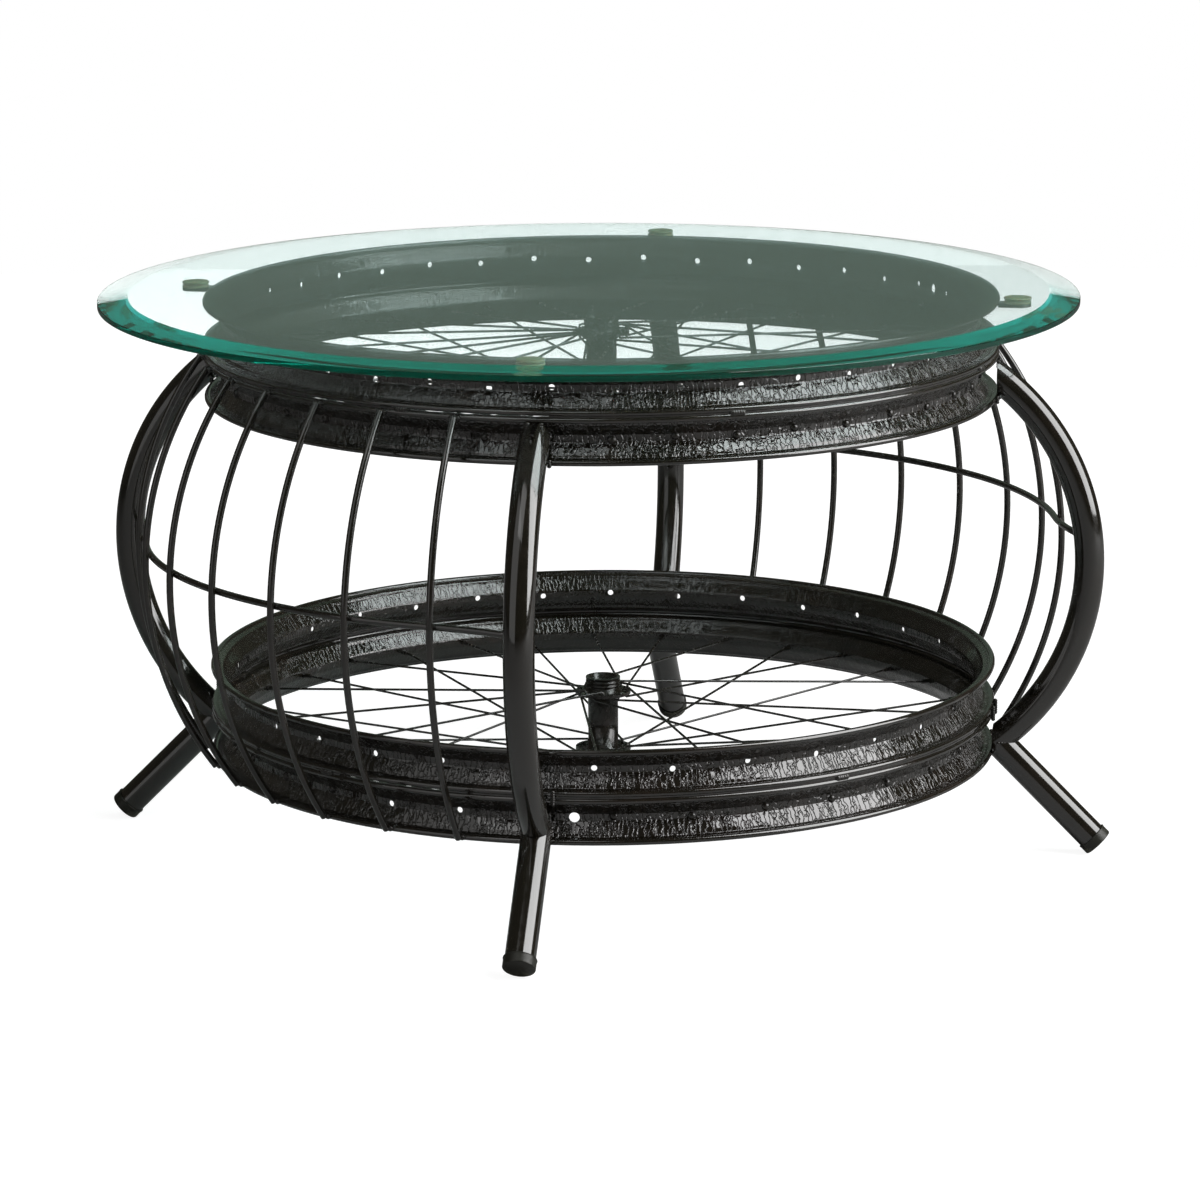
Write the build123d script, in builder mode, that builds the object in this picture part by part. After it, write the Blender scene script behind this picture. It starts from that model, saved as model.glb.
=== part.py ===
"""Round glass coffee table on a welded cage of bicycle rims, bow tubes and curved rods.

Two pairs of stacked rims stand one above the other. The lower rim of each pair is a laced
wheel with hub and spokes, the upper one is bare. Four bow tubes carry the top pair over the
bottom pair, four raked foot tubes stand under the bows, and two opposite quarters between the
bows are closed by curved rods tied by a hoop. The loose bevelled glass lies on four soft pads.

Units are millimetres. Z is up, the floor is z = 0 and the wheels' axis is the Z axis.
"""

from math import atan2, cos, degrees, radians, sin, sqrt
import os

from build123d import *

os.makedirs("parts", exist_ok=True)

# ---------------------------------------------------------------- driving dimensions
# Glass top
glass_overhang = 75.0  # beyond the outside of the rims
glass_thickness = 8.0
bevel_width = 25.0
bevel_drop = 3.5
glass_edge_break = 0.6
glass_shift = (-10.0, -1.6)  # the loose glass lies a little off the wheels' axis

# Rims, all four of one section
rim_radius = 325.0  # outside of the rolled lips
rim_width = 37.5
rim_depth = 17.0  # from the lips in to the crest of the well
rim_wall = 1.6
lip_bead_radius = 2.4
flange_lean = 6.6  # how far outside the well the lip's inner foot lies
flange_depth = 2.2  # from the bead's centre down to that foot
seat_outer_rise = 5.8  # bead seat outside the well, at its outer and inner edge
seat_inner_rise = 2.4
seat_depth = 5.4  # from the bead's centre down to the seat's outer edge
well_shoulder = 3.6  # height of the slope from the well up to the seat
well_half_width = 4.8
section_fillet = 1.0
pair_gap = 0.8  # between the two rims of a pair
bottom_pair_z = 81.1  # underside of the bottom pair
top_pair_z = 377.5  # underside of the top pair
rim_hole_diameter = 4.8
rim_hole_stagger = 1.0
valve_hole_diameter = 8.3

# Hubs and spokes
hub_body_diameter = 25.0
hub_bore_diameter = 21.0
collar_diameter = 28.7
collar_bore_diameter = 23.0
collar_reach = 37.0  # from the rim's middle plane to the collar's mouth
hub_tail_reach = 31.0
flange_diameter = 46.0
flange_thickness = 2.4
flange_spacing = 48.0
flange_pitch_radius = 20.0
flange_hole_fit = 0.6  # wider than the spoke
spoke_diameter = 2.0
spoke_bend_radius = 2.0
spoke_head_diameter = 3.6
spoke_head_height = 1.0
outer_spoke_offset = 4.0  # spokes that leave the outer face of a flange
inner_spoke_offset = 3.0  # spokes that leave its inner face
nipple_head_diameter = 7.0
nipple_head_height = 2.2
nipple_shank_diameter = 4.0
nipple_reach = 9.5  # from the head's seat to the tip
spoke_end_gap = 0.3  # between a spoke's square end and the nipple's tip

# Wheel lacing: rim holes, their first azimuth, how many flange holes a spoke leads by
bottom_holes = 32
bottom_lacing_phase = 10.4
bottom_lead = 3
bottom_open_holes = (21, 22)  # two rim holes that have lost their spokes
bottom_bare_phase = 7.65
top_holes = 40
top_lacing_phase = 1.35
top_lead = 4
top_bare_phase = 2.0
bottom_valve_azimuth = -85.2
bottom_bare_valve_azimuth = 182.0
top_valve_azimuth = 176.85
top_bare_valve_azimuth = 33.5

# Spacer welds between the rims of a pair
weld_length = 10.0
weld_depth = 4.0
bottom_weld_azimuths = (-123.0, -49.0, 10.0, 60.0, 112.0, 170.0)
top_weld_azimuths = (-164.0, -109.0, -62.5, -12.0, 40.0, 88.0, 137.0)

# Bow tubes and foot tubes
leg_names = ("right", "back", "left", "front")
tube_diameter = 24.0
tube_wall = 1.5
bow_bulge = 76.5  # centreline beyond the rim at the widest place
bow_waist_drop = 2.5  # the widest place lies this far under the middle of the bow
bow_top_rise = 32.5  # top end above the underside of the top pair
bow_top_inset = 20.0  # the centreline's top end lies inside the rim's outside
knee_rise = 12.9  # bow and foot meet this far above the underside of the bottom pair
knee_offset = 3.0  # and this far outside the rim
notch_width = 6.0
notch_height = 16.0
foot_angle = 45.0  # foot tube below the horizontal

# Foot caps
cap_wall = 1.2
cap_lip_width = 0.8
cap_depth = 5.5
cap_floor = 3.0
cap_flat = 0.5  # worn flat where the cap stands on the floor
cap_fit = 0.1

# Cage rods and hoops
rod_diameter = 5.5
rods_per_quarter = 7
rod_pitch = 11.0
rod_bulge = 56.5
hoop_diameter = 5.5
hoop_end_side = 8.0  # the hoop meets a bow this far to the side of its middle
cage_starts = {"left": -90.0, "right": 0.0}  # leg azimuth that each caged quarter starts from
cage_directions = {"left": -1, "right": 1}
hoop_heights = {"left": 261.0, "right": 268.0}

# Pads and their tabs
pad_diameter = 22.5
pad_waist_diameter = 18.0
pad_height = 5.0
pad_groove = 1.2
pad_stand_out = 15.0  # pad's middle beyond the outside of the rims
tab_thickness = 2.5
tab_drop = 2.7  # tab's top below the top of the rims
tab_width = 20.0
tab_overhang = 1.0

weld_clearance = 0.05  # left between welded neighbours

# ---------------------------------------------------------------- derived places
pair_height = 2 * rim_width + pair_gap
bottom_lower_z = bottom_pair_z + rim_width / 2
bottom_upper_z = bottom_lower_z + rim_width + pair_gap
top_lower_z = top_pair_z + rim_width / 2
top_upper_z = top_lower_z + rim_width + pair_gap
rims_top_z = top_pair_z + pair_height
crest_radius = rim_radius - rim_depth
well_radius = crest_radius + rim_wall
bead_radius = rim_radius - lip_bead_radius
bead_height = rim_width / 2 - lip_bead_radius
tab_top_z = rims_top_z - tab_drop
glass_bottom_z = tab_top_z + pad_height
glass_top_z = glass_bottom_z + glass_thickness
glass_radius = rim_radius + glass_overhang
pad_radius = rim_radius + pad_stand_out
knee_z = bottom_pair_z + knee_rise
knee_radius = rim_radius + knee_offset
bow_top_z = top_pair_z + bow_top_rise
bow_waist = (rim_radius + bow_bulge, (knee_z + bow_top_z) / 2 - bow_waist_drop)
tube_radius = tube_diameter / 2
cap_diameter = tube_diameter + 2 * (cap_fit + cap_wall)
flange_hole_diameter = spoke_diameter + flange_hole_fit
rod_seat_radius = rim_radius + rod_diameter / 2 - weld_clearance
rod_ends_z = (bottom_pair_z + lip_bead_radius, top_pair_z + rim_width - lip_bead_radius)


# ---------------------------------------------------------------- helpers
def finish(shape, name):
    """Label a finished piece and write its STEP file."""
    shape.label = name
    export_step(shape, f"parts/{name}.step")


def radial_plane(azimuth):
    """Upright plane through the axis: its x runs outward at the azimuth, its y is up."""
    return Plane.XZ.rotated((0, 0, azimuth))


def polar(radius, azimuth, height=0.0):
    """Point at a radius, azimuth in degrees and height."""
    return Vector(radius * cos(radians(azimuth)), radius * sin(radians(azimuth)), height)


def rim_envelope(low, high):
    """Solid drum that just clears a stack of rims, for cutting what is welded outside it."""
    with BuildPart() as drum:
        with BuildSketch(Plane.XY.offset(low - weld_clearance)):
            Circle(rim_radius + weld_clearance)
        extrude(amount=high - low + 2 * weld_clearance)
    return drum.part


# ---------------------------------------------------------------- glass, pads and tabs
with BuildPart() as glass_top:
    with BuildSketch(Plane.XZ):
        with BuildLine():
            Polyline(
                (0, glass_bottom_z),
                (glass_radius - glass_edge_break, glass_bottom_z),
                (glass_radius, glass_bottom_z + glass_edge_break),
                (glass_radius, glass_top_z - bevel_drop),
                (glass_radius - bevel_width, glass_top_z),
                (0, glass_top_z),
                close=True,
            )
        make_face()
    revolve(axis=Axis.Z)
finish(glass_top.part.translate((glass_shift[0], glass_shift[1], 0)), "glass_top")


def glass_pad(azimuth):
    """Grooved soft pad under the glass, like a short cable grommet."""
    centre = polar(pad_radius, azimuth, tab_top_z)
    disc_height = (pad_height - pad_groove) / 2
    with BuildPart() as pad:
        with BuildSketch(Plane(centre)):
            Circle(pad_diameter / 2)
        extrude(amount=pad_height)
        with BuildSketch(Plane(centre + Vector(0, 0, disc_height))):
            Circle(pad_diameter / 2)
            Circle(pad_waist_diameter / 2, mode=Mode.SUBTRACT)
        extrude(amount=pad_groove, mode=Mode.SUBTRACT)
    return pad.part


def pad_tab(azimuth):
    """Small plate welded to the outside of the top rim, with a rounded outer end."""
    outer_radius = pad_radius + tab_overhang
    with BuildPart() as tab:
        with BuildSketch(Plane.XY.offset(tab_top_z)):
            with PolarLocations(outer_radius, 1, start_angle=azimuth):
                Circle(tab_width / 2)
            with PolarLocations((rim_radius + outer_radius) / 2 - rim_wall, 1, start_angle=azimuth):
                Rectangle(outer_radius - rim_radius + 2 * rim_wall, tab_width)
            Circle(rim_radius + weld_clearance, mode=Mode.SUBTRACT)
        extrude(amount=-tab_thickness)
    return tab.part


for index, name in enumerate(leg_names):
    finish(glass_pad(90.0 * index), f"glass_pad_{name}")
    finish(pad_tab(90.0 * index), f"pad_tab_{name}")


# ---------------------------------------------------------------- rims
def rim(middle_z, holes, phase, valve_azimuth):
    """Rolled steel rim: two beaded lips, bead seats and a well drilled for spokes and valve."""
    middle = crest_radius + rim_wall / 2
    drill_length = 6 * rim_wall
    half_path = (
        (bead_radius - lip_bead_radius / 2, bead_height + lip_bead_radius / 5),
        (middle + flange_lean, bead_height - flange_depth),
        (middle + seat_outer_rise, bead_height - seat_depth),
        (middle + seat_inner_rise, well_half_width + well_shoulder),
        (middle, well_half_width),
    )
    mirrored = tuple((x, -y) for x, y in reversed(half_path))
    with BuildPart() as steel:
        with BuildSketch(Plane.XZ.shift_origin((0, 0, middle_z))):
            with BuildLine():
                FilletPolyline(*half_path, *mirrored, radius=section_fillet)
                offset(amount=rim_wall / 2, side=Side.BOTH)
            make_face()
            with Locations((bead_radius, bead_height), (bead_radius, -bead_height)):
                Circle(lip_bead_radius)
        revolve(axis=Axis.Z)
        for parity, lift in ((0, rim_hole_stagger), (1, -rim_hole_stagger)):
            with Locations((0, 0, middle_z + lift)):
                with PolarLocations(well_radius, holes // 2, start_angle=phase + parity * 360 / holes):
                    Cylinder(
                        rim_hole_diameter / 2, drill_length, rotation=(0, 90, 0), mode=Mode.SUBTRACT
                    )
        with Locations((0, 0, middle_z)):
            with PolarLocations(well_radius, 1, start_angle=valve_azimuth):
                Cylinder(
                    valve_hole_diameter / 2, drill_length, rotation=(0, 90, 0), mode=Mode.SUBTRACT
                )
    return steel.part


finish(rim(bottom_lower_z, bottom_holes, bottom_lacing_phase, bottom_valve_azimuth), "bottom_lower_rim")
finish(rim(bottom_upper_z, bottom_holes, bottom_bare_phase, bottom_bare_valve_azimuth), "bottom_upper_rim")
finish(rim(top_lower_z, top_holes, top_lacing_phase, top_valve_azimuth), "top_lower_rim")
finish(rim(top_upper_z, top_holes, top_bare_phase, top_bare_valve_azimuth), "top_upper_rim")


def spacer_welds(lower_rim_z, azimuths):
    """Short weld blocks that hold the two rims of a pair apart."""
    low = lower_rim_z + rim_width / 2
    with BuildPart() as welds:
        with BuildSketch(Plane.XY.offset(low)):
            for azimuth in azimuths:
                with PolarLocations(bead_radius, 1, start_angle=azimuth):
                    Rectangle(3 * weld_depth, weld_length)
            Circle(bead_radius + weld_depth / 2, mode=Mode.INTERSECT)
            Circle(bead_radius - weld_depth / 2, mode=Mode.SUBTRACT)
        extrude(amount=pair_gap)
    return welds.part


finish(spacer_welds(bottom_lower_z, bottom_weld_azimuths), "bottom_spacer_welds")
finish(spacer_welds(top_lower_z, top_weld_azimuths), "top_spacer_welds")


# ---------------------------------------------------------------- hubs, spokes and nipples
def hub(middle_z, flange_holes, phase):
    """Bare hub shell: two drilled flanges, a ringed collar above and an open bore."""
    flange_z = flange_spacing / 2
    ring_pitch = 3.0
    ring_depth = 0.8
    ring_count = 3
    with BuildPart() as shell:
        with Locations((0, 0, middle_z - hub_tail_reach)):
            Cylinder(
                hub_body_diameter / 2,
                hub_tail_reach + flange_z,
                align=(Align.CENTER, Align.CENTER, Align.MIN),
            )
        with Locations((0, 0, middle_z + flange_z)):
            Cylinder(
                collar_diameter / 2,
                collar_reach - flange_z,
                align=(Align.CENTER, Align.CENTER, Align.MIN),
            )
        with Locations((0, 0, middle_z - flange_z), (0, 0, middle_z + flange_z)):
            Cylinder(flange_diameter / 2, flange_thickness)
        for ring in range(ring_count):
            with BuildSketch(Plane.XY.offset(middle_z + collar_reach - ring_pitch * (ring + 1))):
                Circle(collar_diameter / 2)
                Circle(collar_diameter / 2 - ring_depth, mode=Mode.SUBTRACT)
            extrude(amount=ring_pitch / 2, mode=Mode.SUBTRACT)
        with Locations((0, 0, middle_z)):
            Cylinder(hub_bore_diameter / 2, 3 * hub_tail_reach, mode=Mode.SUBTRACT)
        with Locations((0, 0, middle_z + flange_z)):
            Cylinder(
                collar_bore_diameter / 2,
                collar_reach - flange_z,
                align=(Align.CENTER, Align.CENTER, Align.MIN),
                mode=Mode.SUBTRACT,
            )
        for side, start in ((1, phase), (-1, phase + 180.0 / flange_holes)):
            with Locations((0, 0, middle_z + side * flange_z)):
                with PolarLocations(flange_pitch_radius, flange_holes, start_angle=start):
                    Cylinder(flange_hole_diameter / 2, 2 * flange_thickness, mode=Mode.SUBTRACT)
    return shell.part


def spoke(rim_azimuth, hub_azimuth, middle_z, side, outer, rim_lift):
    """One bent spoke from its head in a flange to the tip of its nipple."""
    flange_z = side * flange_spacing / 2
    outward = side if outer else -side
    reach = outer_spoke_offset if outer else inner_spoke_offset
    head_face = flange_thickness / 2 + spoke_head_height
    seat = polar(flange_pitch_radius, hub_azimuth, middle_z + flange_z)
    head_end = seat - Vector(0, 0, outward * head_face)
    corner = seat + Vector(0, 0, outward * reach)
    tip = polar(well_radius - nipple_reach - spoke_end_gap, rim_azimuth, middle_z + rim_lift)
    with BuildPart() as wire:
        with BuildLine() as path:
            FilletPolyline(head_end, corner, tip, radius=spoke_bend_radius)
        with BuildSketch(Plane(head_end, z_dir=(0, 0, outward))):
            Circle(spoke_diameter / 2)
        sweep(path=path.line)
        with BuildSketch(Plane(head_end, z_dir=(0, 0, outward))):
            Circle(spoke_head_diameter / 2)
        extrude(amount=spoke_head_height - weld_clearance)
    return wire.part


def spoke_set(middle_z, holes, phase, lead, side, open_holes):
    """All spokes of one flange: every second one leads, the others trail."""
    pitch = 360.0 / holes
    start = 0 if side > 0 else 1
    wires = []
    for place, hole in enumerate(range(start, holes, 2)):
        if hole in open_holes:
            continue
        leading = place % 2 == 0
        rim_azimuth = phase + hole * pitch
        turn = -2 * lead * pitch if leading else 2 * lead * pitch
        lift = rim_hole_stagger if hole % 2 == 0 else -rim_hole_stagger
        wires.append(spoke(rim_azimuth, rim_azimuth + turn, middle_z, side, not leading, lift))
    return Compound(children=wires)


def nipple_set(middle_z, holes, phase, open_holes):
    """Spoke nipples: a domed head in the well and a shank that points at the hub."""
    head_radius = nipple_head_diameter / 2
    shank_radius = nipple_shank_diameter / 2
    dome_radius = (head_radius**2 + nipple_head_height**2) / (2 * nipple_head_height)
    with BuildPart() as nipple:
        with BuildSketch(Plane.XY):
            with BuildLine():
                Line((-nipple_reach, 0), (-nipple_reach, shank_radius))
                Line((-nipple_reach, shank_radius), (0, shank_radius))
                Line((0, shank_radius), (0, head_radius))
                RadiusArc((0, head_radius), (nipple_head_height, 0), dome_radius)
                Line((nipple_head_height, 0), (-nipple_reach, 0))
            make_face()
        revolve(axis=Axis.X)
    pieces = []
    for hole in range(holes):
        if hole in open_holes:
            continue
        lift = rim_hole_stagger if hole % 2 == 0 else -rim_hole_stagger
        azimuth = phase + hole * 360.0 / holes
        centre = polar(well_radius, azimuth, middle_z + lift)
        pieces.append(nipple.part.moved(Location(centre, (0, 0, azimuth))))
    return Compound(children=pieces)


wheels = (
    ("bottom", bottom_lower_z, bottom_holes, bottom_lacing_phase, bottom_lead, bottom_open_holes),
    ("top", top_lower_z, top_holes, top_lacing_phase, top_lead, ()),
)
for name, middle_z, holes, phase, lead, open_holes in wheels:
    finish(hub(middle_z, holes // 2, phase), f"{name}_hub")
    finish(spoke_set(middle_z, holes, phase, lead, 1, open_holes), f"{name}_spokes_upper")
    finish(spoke_set(middle_z, holes, phase, lead, -1, open_holes), f"{name}_spokes_lower")
    finish(nipple_set(middle_z, holes, phase, open_holes), f"{name}_nipples")


# ---------------------------------------------------------------- bow tubes and feet
rims_drum = rim_envelope(bottom_pair_z, rims_top_z)


def bow_solid(azimuth, radius):
    """Round bar of the given radius along the bow's arc, cut level at both ends."""
    run_out = 30.0
    with BuildPart() as bar:
        with BuildLine(radial_plane(azimuth)) as path:
            ThreePointArc(
                (knee_radius, knee_z), bow_waist, (rim_radius - bow_top_inset, bow_top_z)
            )
        arc = path.edges()[0]
        start_plane = Plane(arc @ 0, z_dir=arc % 0)
        end_plane = Plane(arc @ 1, z_dir=arc % 1)
        with BuildSketch(start_plane):
            Circle(radius)
        sweep(path=path.line)
        with BuildSketch(start_plane):
            Circle(radius)
        extrude(amount=-run_out)
        with BuildSketch(end_plane):
            Circle(radius)
        extrude(amount=run_out)
        split(bisect_by=Plane.XY.offset(knee_z), keep=Keep.TOP)
        split(bisect_by=Plane.XY.offset(bow_top_z), keep=Keep.BOTTOM)
    return bar.part


def bow_tube(azimuth):
    """Bow tube coped to the rims, its top end notched where it was pinched shut."""
    with BuildPart() as tube:
        add(bow_solid(azimuth, tube_radius))
        add(bow_solid(azimuth, tube_radius - tube_wall), mode=Mode.SUBTRACT)
        add(rims_drum, mode=Mode.SUBTRACT)
        notch_point = polar(rim_radius, azimuth, bow_top_z)
        with BuildSketch(Plane(notch_point, x_dir=polar(1, azimuth + 90), z_dir=polar(1, azimuth))):
            with BuildLine():
                Polyline(
                    (-notch_width / 2, 0),
                    (notch_width / 2, 0),
                    (0, -notch_height),
                    close=True,
                )
            make_face()
        extrude(amount=tube_diameter, both=True, mode=Mode.SUBTRACT)
    return tube.part


def foot_axis():
    """Foot line in a radial plane: knee point, tube end and unit direction down and out."""
    direction = (cos(radians(foot_angle)), -sin(radians(foot_angle)))
    cap_centre_z = cap_diameter / 2 * cos(radians(foot_angle)) - cap_flat
    run = (knee_z - cap_centre_z) / sin(radians(foot_angle))
    cap_centre = (knee_radius + run * direction[0], cap_centre_z)
    tube_end = (
        cap_centre[0] - (cap_floor + cap_fit) * direction[0],
        cap_centre[1] - (cap_floor + cap_fit) * direction[1],
    )
    return cap_centre, tube_end, direction


def plane_across_foot(azimuth, point, direction):
    """Plane square to the foot tube at a point given as radius and height."""
    origin = polar(point[0], azimuth, point[1])
    outward = polar(direction[0], azimuth, direction[1])
    return Plane(origin, x_dir=polar(1, azimuth + 90), z_dir=outward)


def foot_tube(azimuth):
    """Raked tube from the knee under the bow down into its cap."""
    _, tube_end, direction = foot_axis()
    length = 1.6 * (knee_z - tube_end[1]) / sin(radians(foot_angle))
    with BuildPart() as tube:
        with BuildSketch(plane_across_foot(azimuth, tube_end, direction)):
            Circle(tube_radius)
            Circle(tube_radius - tube_wall, mode=Mode.SUBTRACT)
        extrude(amount=-length)
        split(bisect_by=Plane.XY.offset(knee_z - weld_clearance), keep=Keep.BOTTOM)
        add(rims_drum, mode=Mode.SUBTRACT)
    return tube.part


def foot_cap(azimuth):
    """Plastic cap pushed over the tube's end, lipped at its mouth and flat on the floor."""
    cap_centre, tube_end, direction = foot_axis()
    body_radius = cap_diameter / 2
    bore_radius = tube_radius + cap_fit
    with BuildPart() as cap:
        with BuildSketch(plane_across_foot(azimuth, cap_centre, direction)):
            Circle(body_radius)
        extrude(amount=-(cap_floor + cap_depth))
        with BuildSketch(plane_across_foot(azimuth, tube_end, direction)):
            Circle(bore_radius)
        extrude(amount=-(cap_floor + cap_depth), mode=Mode.SUBTRACT)
        with BuildSketch(plane_across_foot(azimuth, cap_centre, direction)):
            Circle(2 * body_radius)
            Circle(body_radius - cap_lip_width / 2, mode=Mode.SUBTRACT)
        extrude(amount=-(cap_floor + cap_depth - cap_lip_width), mode=Mode.SUBTRACT)
        split(bisect_by=Plane.XY, keep=Keep.TOP)
    return cap.part


for index, name in enumerate(leg_names):
    finish(bow_tube(90.0 * index), f"bow_tube_{name}")
    finish(foot_tube(90.0 * index), f"foot_tube_{name}")
    finish(foot_cap(90.0 * index), f"foot_cap_{name}")


# ---------------------------------------------------------------- cage rods and hoops
rod_waist = (rim_radius + rod_bulge, (rod_ends_z[0] + rod_ends_z[1]) / 2)


def cage_rod(azimuth):
    """Curved rod welded to the outermost lips of the two laced rims."""
    with BuildPart() as rod:
        with BuildLine(radial_plane(azimuth)) as path:
            ThreePointArc((rod_seat_radius, rod_ends_z[0]), rod_waist, (rod_seat_radius, rod_ends_z[1]))
        arc = path.edges()[0]
        with BuildSketch(Plane(arc @ 0, z_dir=arc % 0)):
            Circle(rod_diameter / 2)
        sweep(path=path.line)
        add(rims_drum, mode=Mode.SUBTRACT)
    return rod.part


def arc_radius_at(height, waist, end_radius, end_z):
    """Radius from the axis of an upright arc through its waist and one end, at a height."""
    rise = abs(end_z - waist[1])
    sagitta = waist[0] - end_radius
    bend = (rise**2 + sagitta**2) / (2 * sagitta)
    return waist[0] - bend + sqrt(bend**2 - (height - waist[1]) ** 2)


def hoop(start_azimuth, direction, height):
    """Rod inside a caged quarter, bent out at both ends to meet the bow tubes."""
    rod_radius_here = arc_radius_at(height, rod_waist, rod_seat_radius, rod_ends_z[1])
    hoop_radius = rod_radius_here - (rod_diameter + hoop_diameter) / 2 - weld_clearance
    first = start_azimuth + direction * rod_pitch
    last = start_azimuth + direction * rods_per_quarter * rod_pitch
    low, high = sorted((first, last))
    low_leg, high_leg = sorted((start_azimuth, start_azimuth + direction * 90.0))
    meet_radius = rim_radius + bow_bulge - tube_radius
    side_angle = degrees(atan2(hoop_end_side, meet_radius))
    low_end = polar(meet_radius, low_leg + side_angle, height)
    high_end = polar(meet_radius, high_leg - side_angle, height)
    with BuildPart() as ring:
        with BuildLine() as path:
            middle = CenterArc((0, 0, height), hoop_radius, low, high - low)
            TangentArc(middle @ 1, high_end, tangent=middle % 1)
            TangentArc(middle @ 0, low_end, tangent=(middle % 0) * -1)
        wire = Wire(path.edges())
        with BuildSketch(Plane(wire @ 0, z_dir=wire % 0)):
            Circle(hoop_diameter / 2)
        sweep(path=wire)
        add(bow_solid(low_leg, tube_radius + weld_clearance), mode=Mode.SUBTRACT)
        add(bow_solid(high_leg, tube_radius + weld_clearance), mode=Mode.SUBTRACT)
    return ring.part


for quarter, start_azimuth in cage_starts.items():
    direction = cage_directions[quarter]
    for place in range(1, rods_per_quarter + 1):
        finish(cage_rod(start_azimuth + direction * place * rod_pitch), f"cage_rod_{quarter}_{place}")
    finish(hoop(start_azimuth, direction, hoop_heights[quarter]), f"hoop_{quarter}")
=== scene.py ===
"""Round glass coffee table on welded bicycle rims: the looks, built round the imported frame.

The file is laid out as an add-on and is run as a script. Each operator makes one piece or one
group of like pieces, rides it on its body and gives it its finish. Lengths are metres, azimuths
are degrees.
"""

from math import asin, atan2, cos, degrees, pi, radians, sin, sqrt

import bmesh
import bpy
from bpy.props import FloatProperty, FloatVectorProperty, PointerProperty
from mathutils import Matrix, Vector


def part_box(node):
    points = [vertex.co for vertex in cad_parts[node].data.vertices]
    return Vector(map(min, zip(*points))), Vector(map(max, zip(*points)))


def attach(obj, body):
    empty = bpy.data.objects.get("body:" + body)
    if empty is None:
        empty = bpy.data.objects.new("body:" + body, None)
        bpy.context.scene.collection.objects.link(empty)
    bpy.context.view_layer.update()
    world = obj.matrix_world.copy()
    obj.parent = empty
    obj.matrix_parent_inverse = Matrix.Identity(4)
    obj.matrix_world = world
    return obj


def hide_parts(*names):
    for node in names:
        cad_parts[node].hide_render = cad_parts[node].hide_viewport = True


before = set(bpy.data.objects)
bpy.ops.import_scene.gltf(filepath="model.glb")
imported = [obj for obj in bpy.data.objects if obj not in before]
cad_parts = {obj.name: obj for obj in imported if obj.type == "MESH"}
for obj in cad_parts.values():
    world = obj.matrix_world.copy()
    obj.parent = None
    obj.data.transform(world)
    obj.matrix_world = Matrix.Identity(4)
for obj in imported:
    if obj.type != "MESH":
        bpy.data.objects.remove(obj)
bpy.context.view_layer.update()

bl_info = {
    "name": "Rim Coffee Table",
    "version": (1, 0, 0),
    "blender": (4, 5, 0),
    "location": "3D View > Sidebar > Rim Table",
    "description": "Builds a round glass coffee table on welded bicycle rims",
    "category": "Add Mesh",
}

UP = Vector((0.0, 0.0, 1.0))
FLAT = (1.0, 1.0, 0.0)

glass_low, glass_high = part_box("glass_top")
glass_middle = (glass_low + glass_high) / 2
glass_radius = (glass_high.x - glass_low.x) / 2
rim_low, rim_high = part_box("top_upper_rim")
bow_low, bow_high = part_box("bow_tube_right")
rod_low, rod_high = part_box("cage_rod_left_1")
pad_low, pad_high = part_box("glass_pad_right")
cap_low, cap_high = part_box("foot_cap_right")

LEGS = {"right": 0.0, "back": 90.0, "left": 180.0, "front": 270.0}
QUARTERS = {"left": (-90.0, -1), "right": (0.0, 1)}  # first leg's azimuth and way round
LIP = rim_high.x  # outside radius of every rim
TUBE_WALL = 0.0015


# --- settings
def length(name, description, default):
    """A length among the settings."""
    return FloatProperty(
        name=name, description=description, default=default, min=0.0001, unit="LENGTH"
    )


def level(name, description, default, unit="NONE"):
    """A strength among the settings."""
    return FloatProperty(name=name, description=description, default=default, min=0.0, unit=unit)


def tint(name, description, *default):
    """A colour among the settings."""
    return FloatVectorProperty(
        name=name, description=description, default=default,
        size=3, subtype="COLOR", min=0.0, max=1.0,
    )


class TableSizes(bpy.types.PropertyGroup):
    """Sizes of the pieces, with defaults read from the frame where it has them."""

    rim_depth: length("Rim depth", "From the lips in to the crest of the well", 0.017)
    rim_wall: length("Rim wall", "Sheet thickness of the rims", 0.0016)
    lip_radius: length("Lip radius", "Radius of the rolled bead on each lip", 0.0024)
    spoke_diameter: length("Spoke diameter", "Wire of the spokes", 0.002)
    tube_diameter: length("Tube diameter", "Outside of the tubes", bow_high.y - bow_low.y)
    rod_diameter: length("Rod diameter", "Wire of the cage rods", 0.0055)
    bevel_width: length("Bevel width", "Width of the bevel round the glass", 0.025)
    bevel_drop: length("Bevel drop", "Height that the bevel takes off the edge", 0.0035)


class PaintLook(bpy.types.PropertyGroup):
    """Thick gloss paint over rusty steel."""

    colour: tint("Paint", "Colour of the paint", 0.0085, 0.0072, 0.0045)
    worn_colour: tint("Worn paint", "Colour of thin paint over rust", 0.021, 0.0145, 0.0105)
    lump_size: length("Lump size", "Width of the plates in the rims' wrinkled paint", 0.0042)
    lump_height: length("Lump height", "Depth of the wrinkles in the rims' paint", 0.0004)


class GlassLook(bpy.types.PropertyGroup):
    """Clear float glass with a green edge."""

    colour: tint("Tint", "Light left after one unit of depth", 0.0, 0.82, 0.785)
    density: level("Density", "Absorption along a metre of glass", 10.7)
    edge: tint("Edge", "Tint of the dull ground edge", 0.05, 0.17, 0.135)


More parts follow.
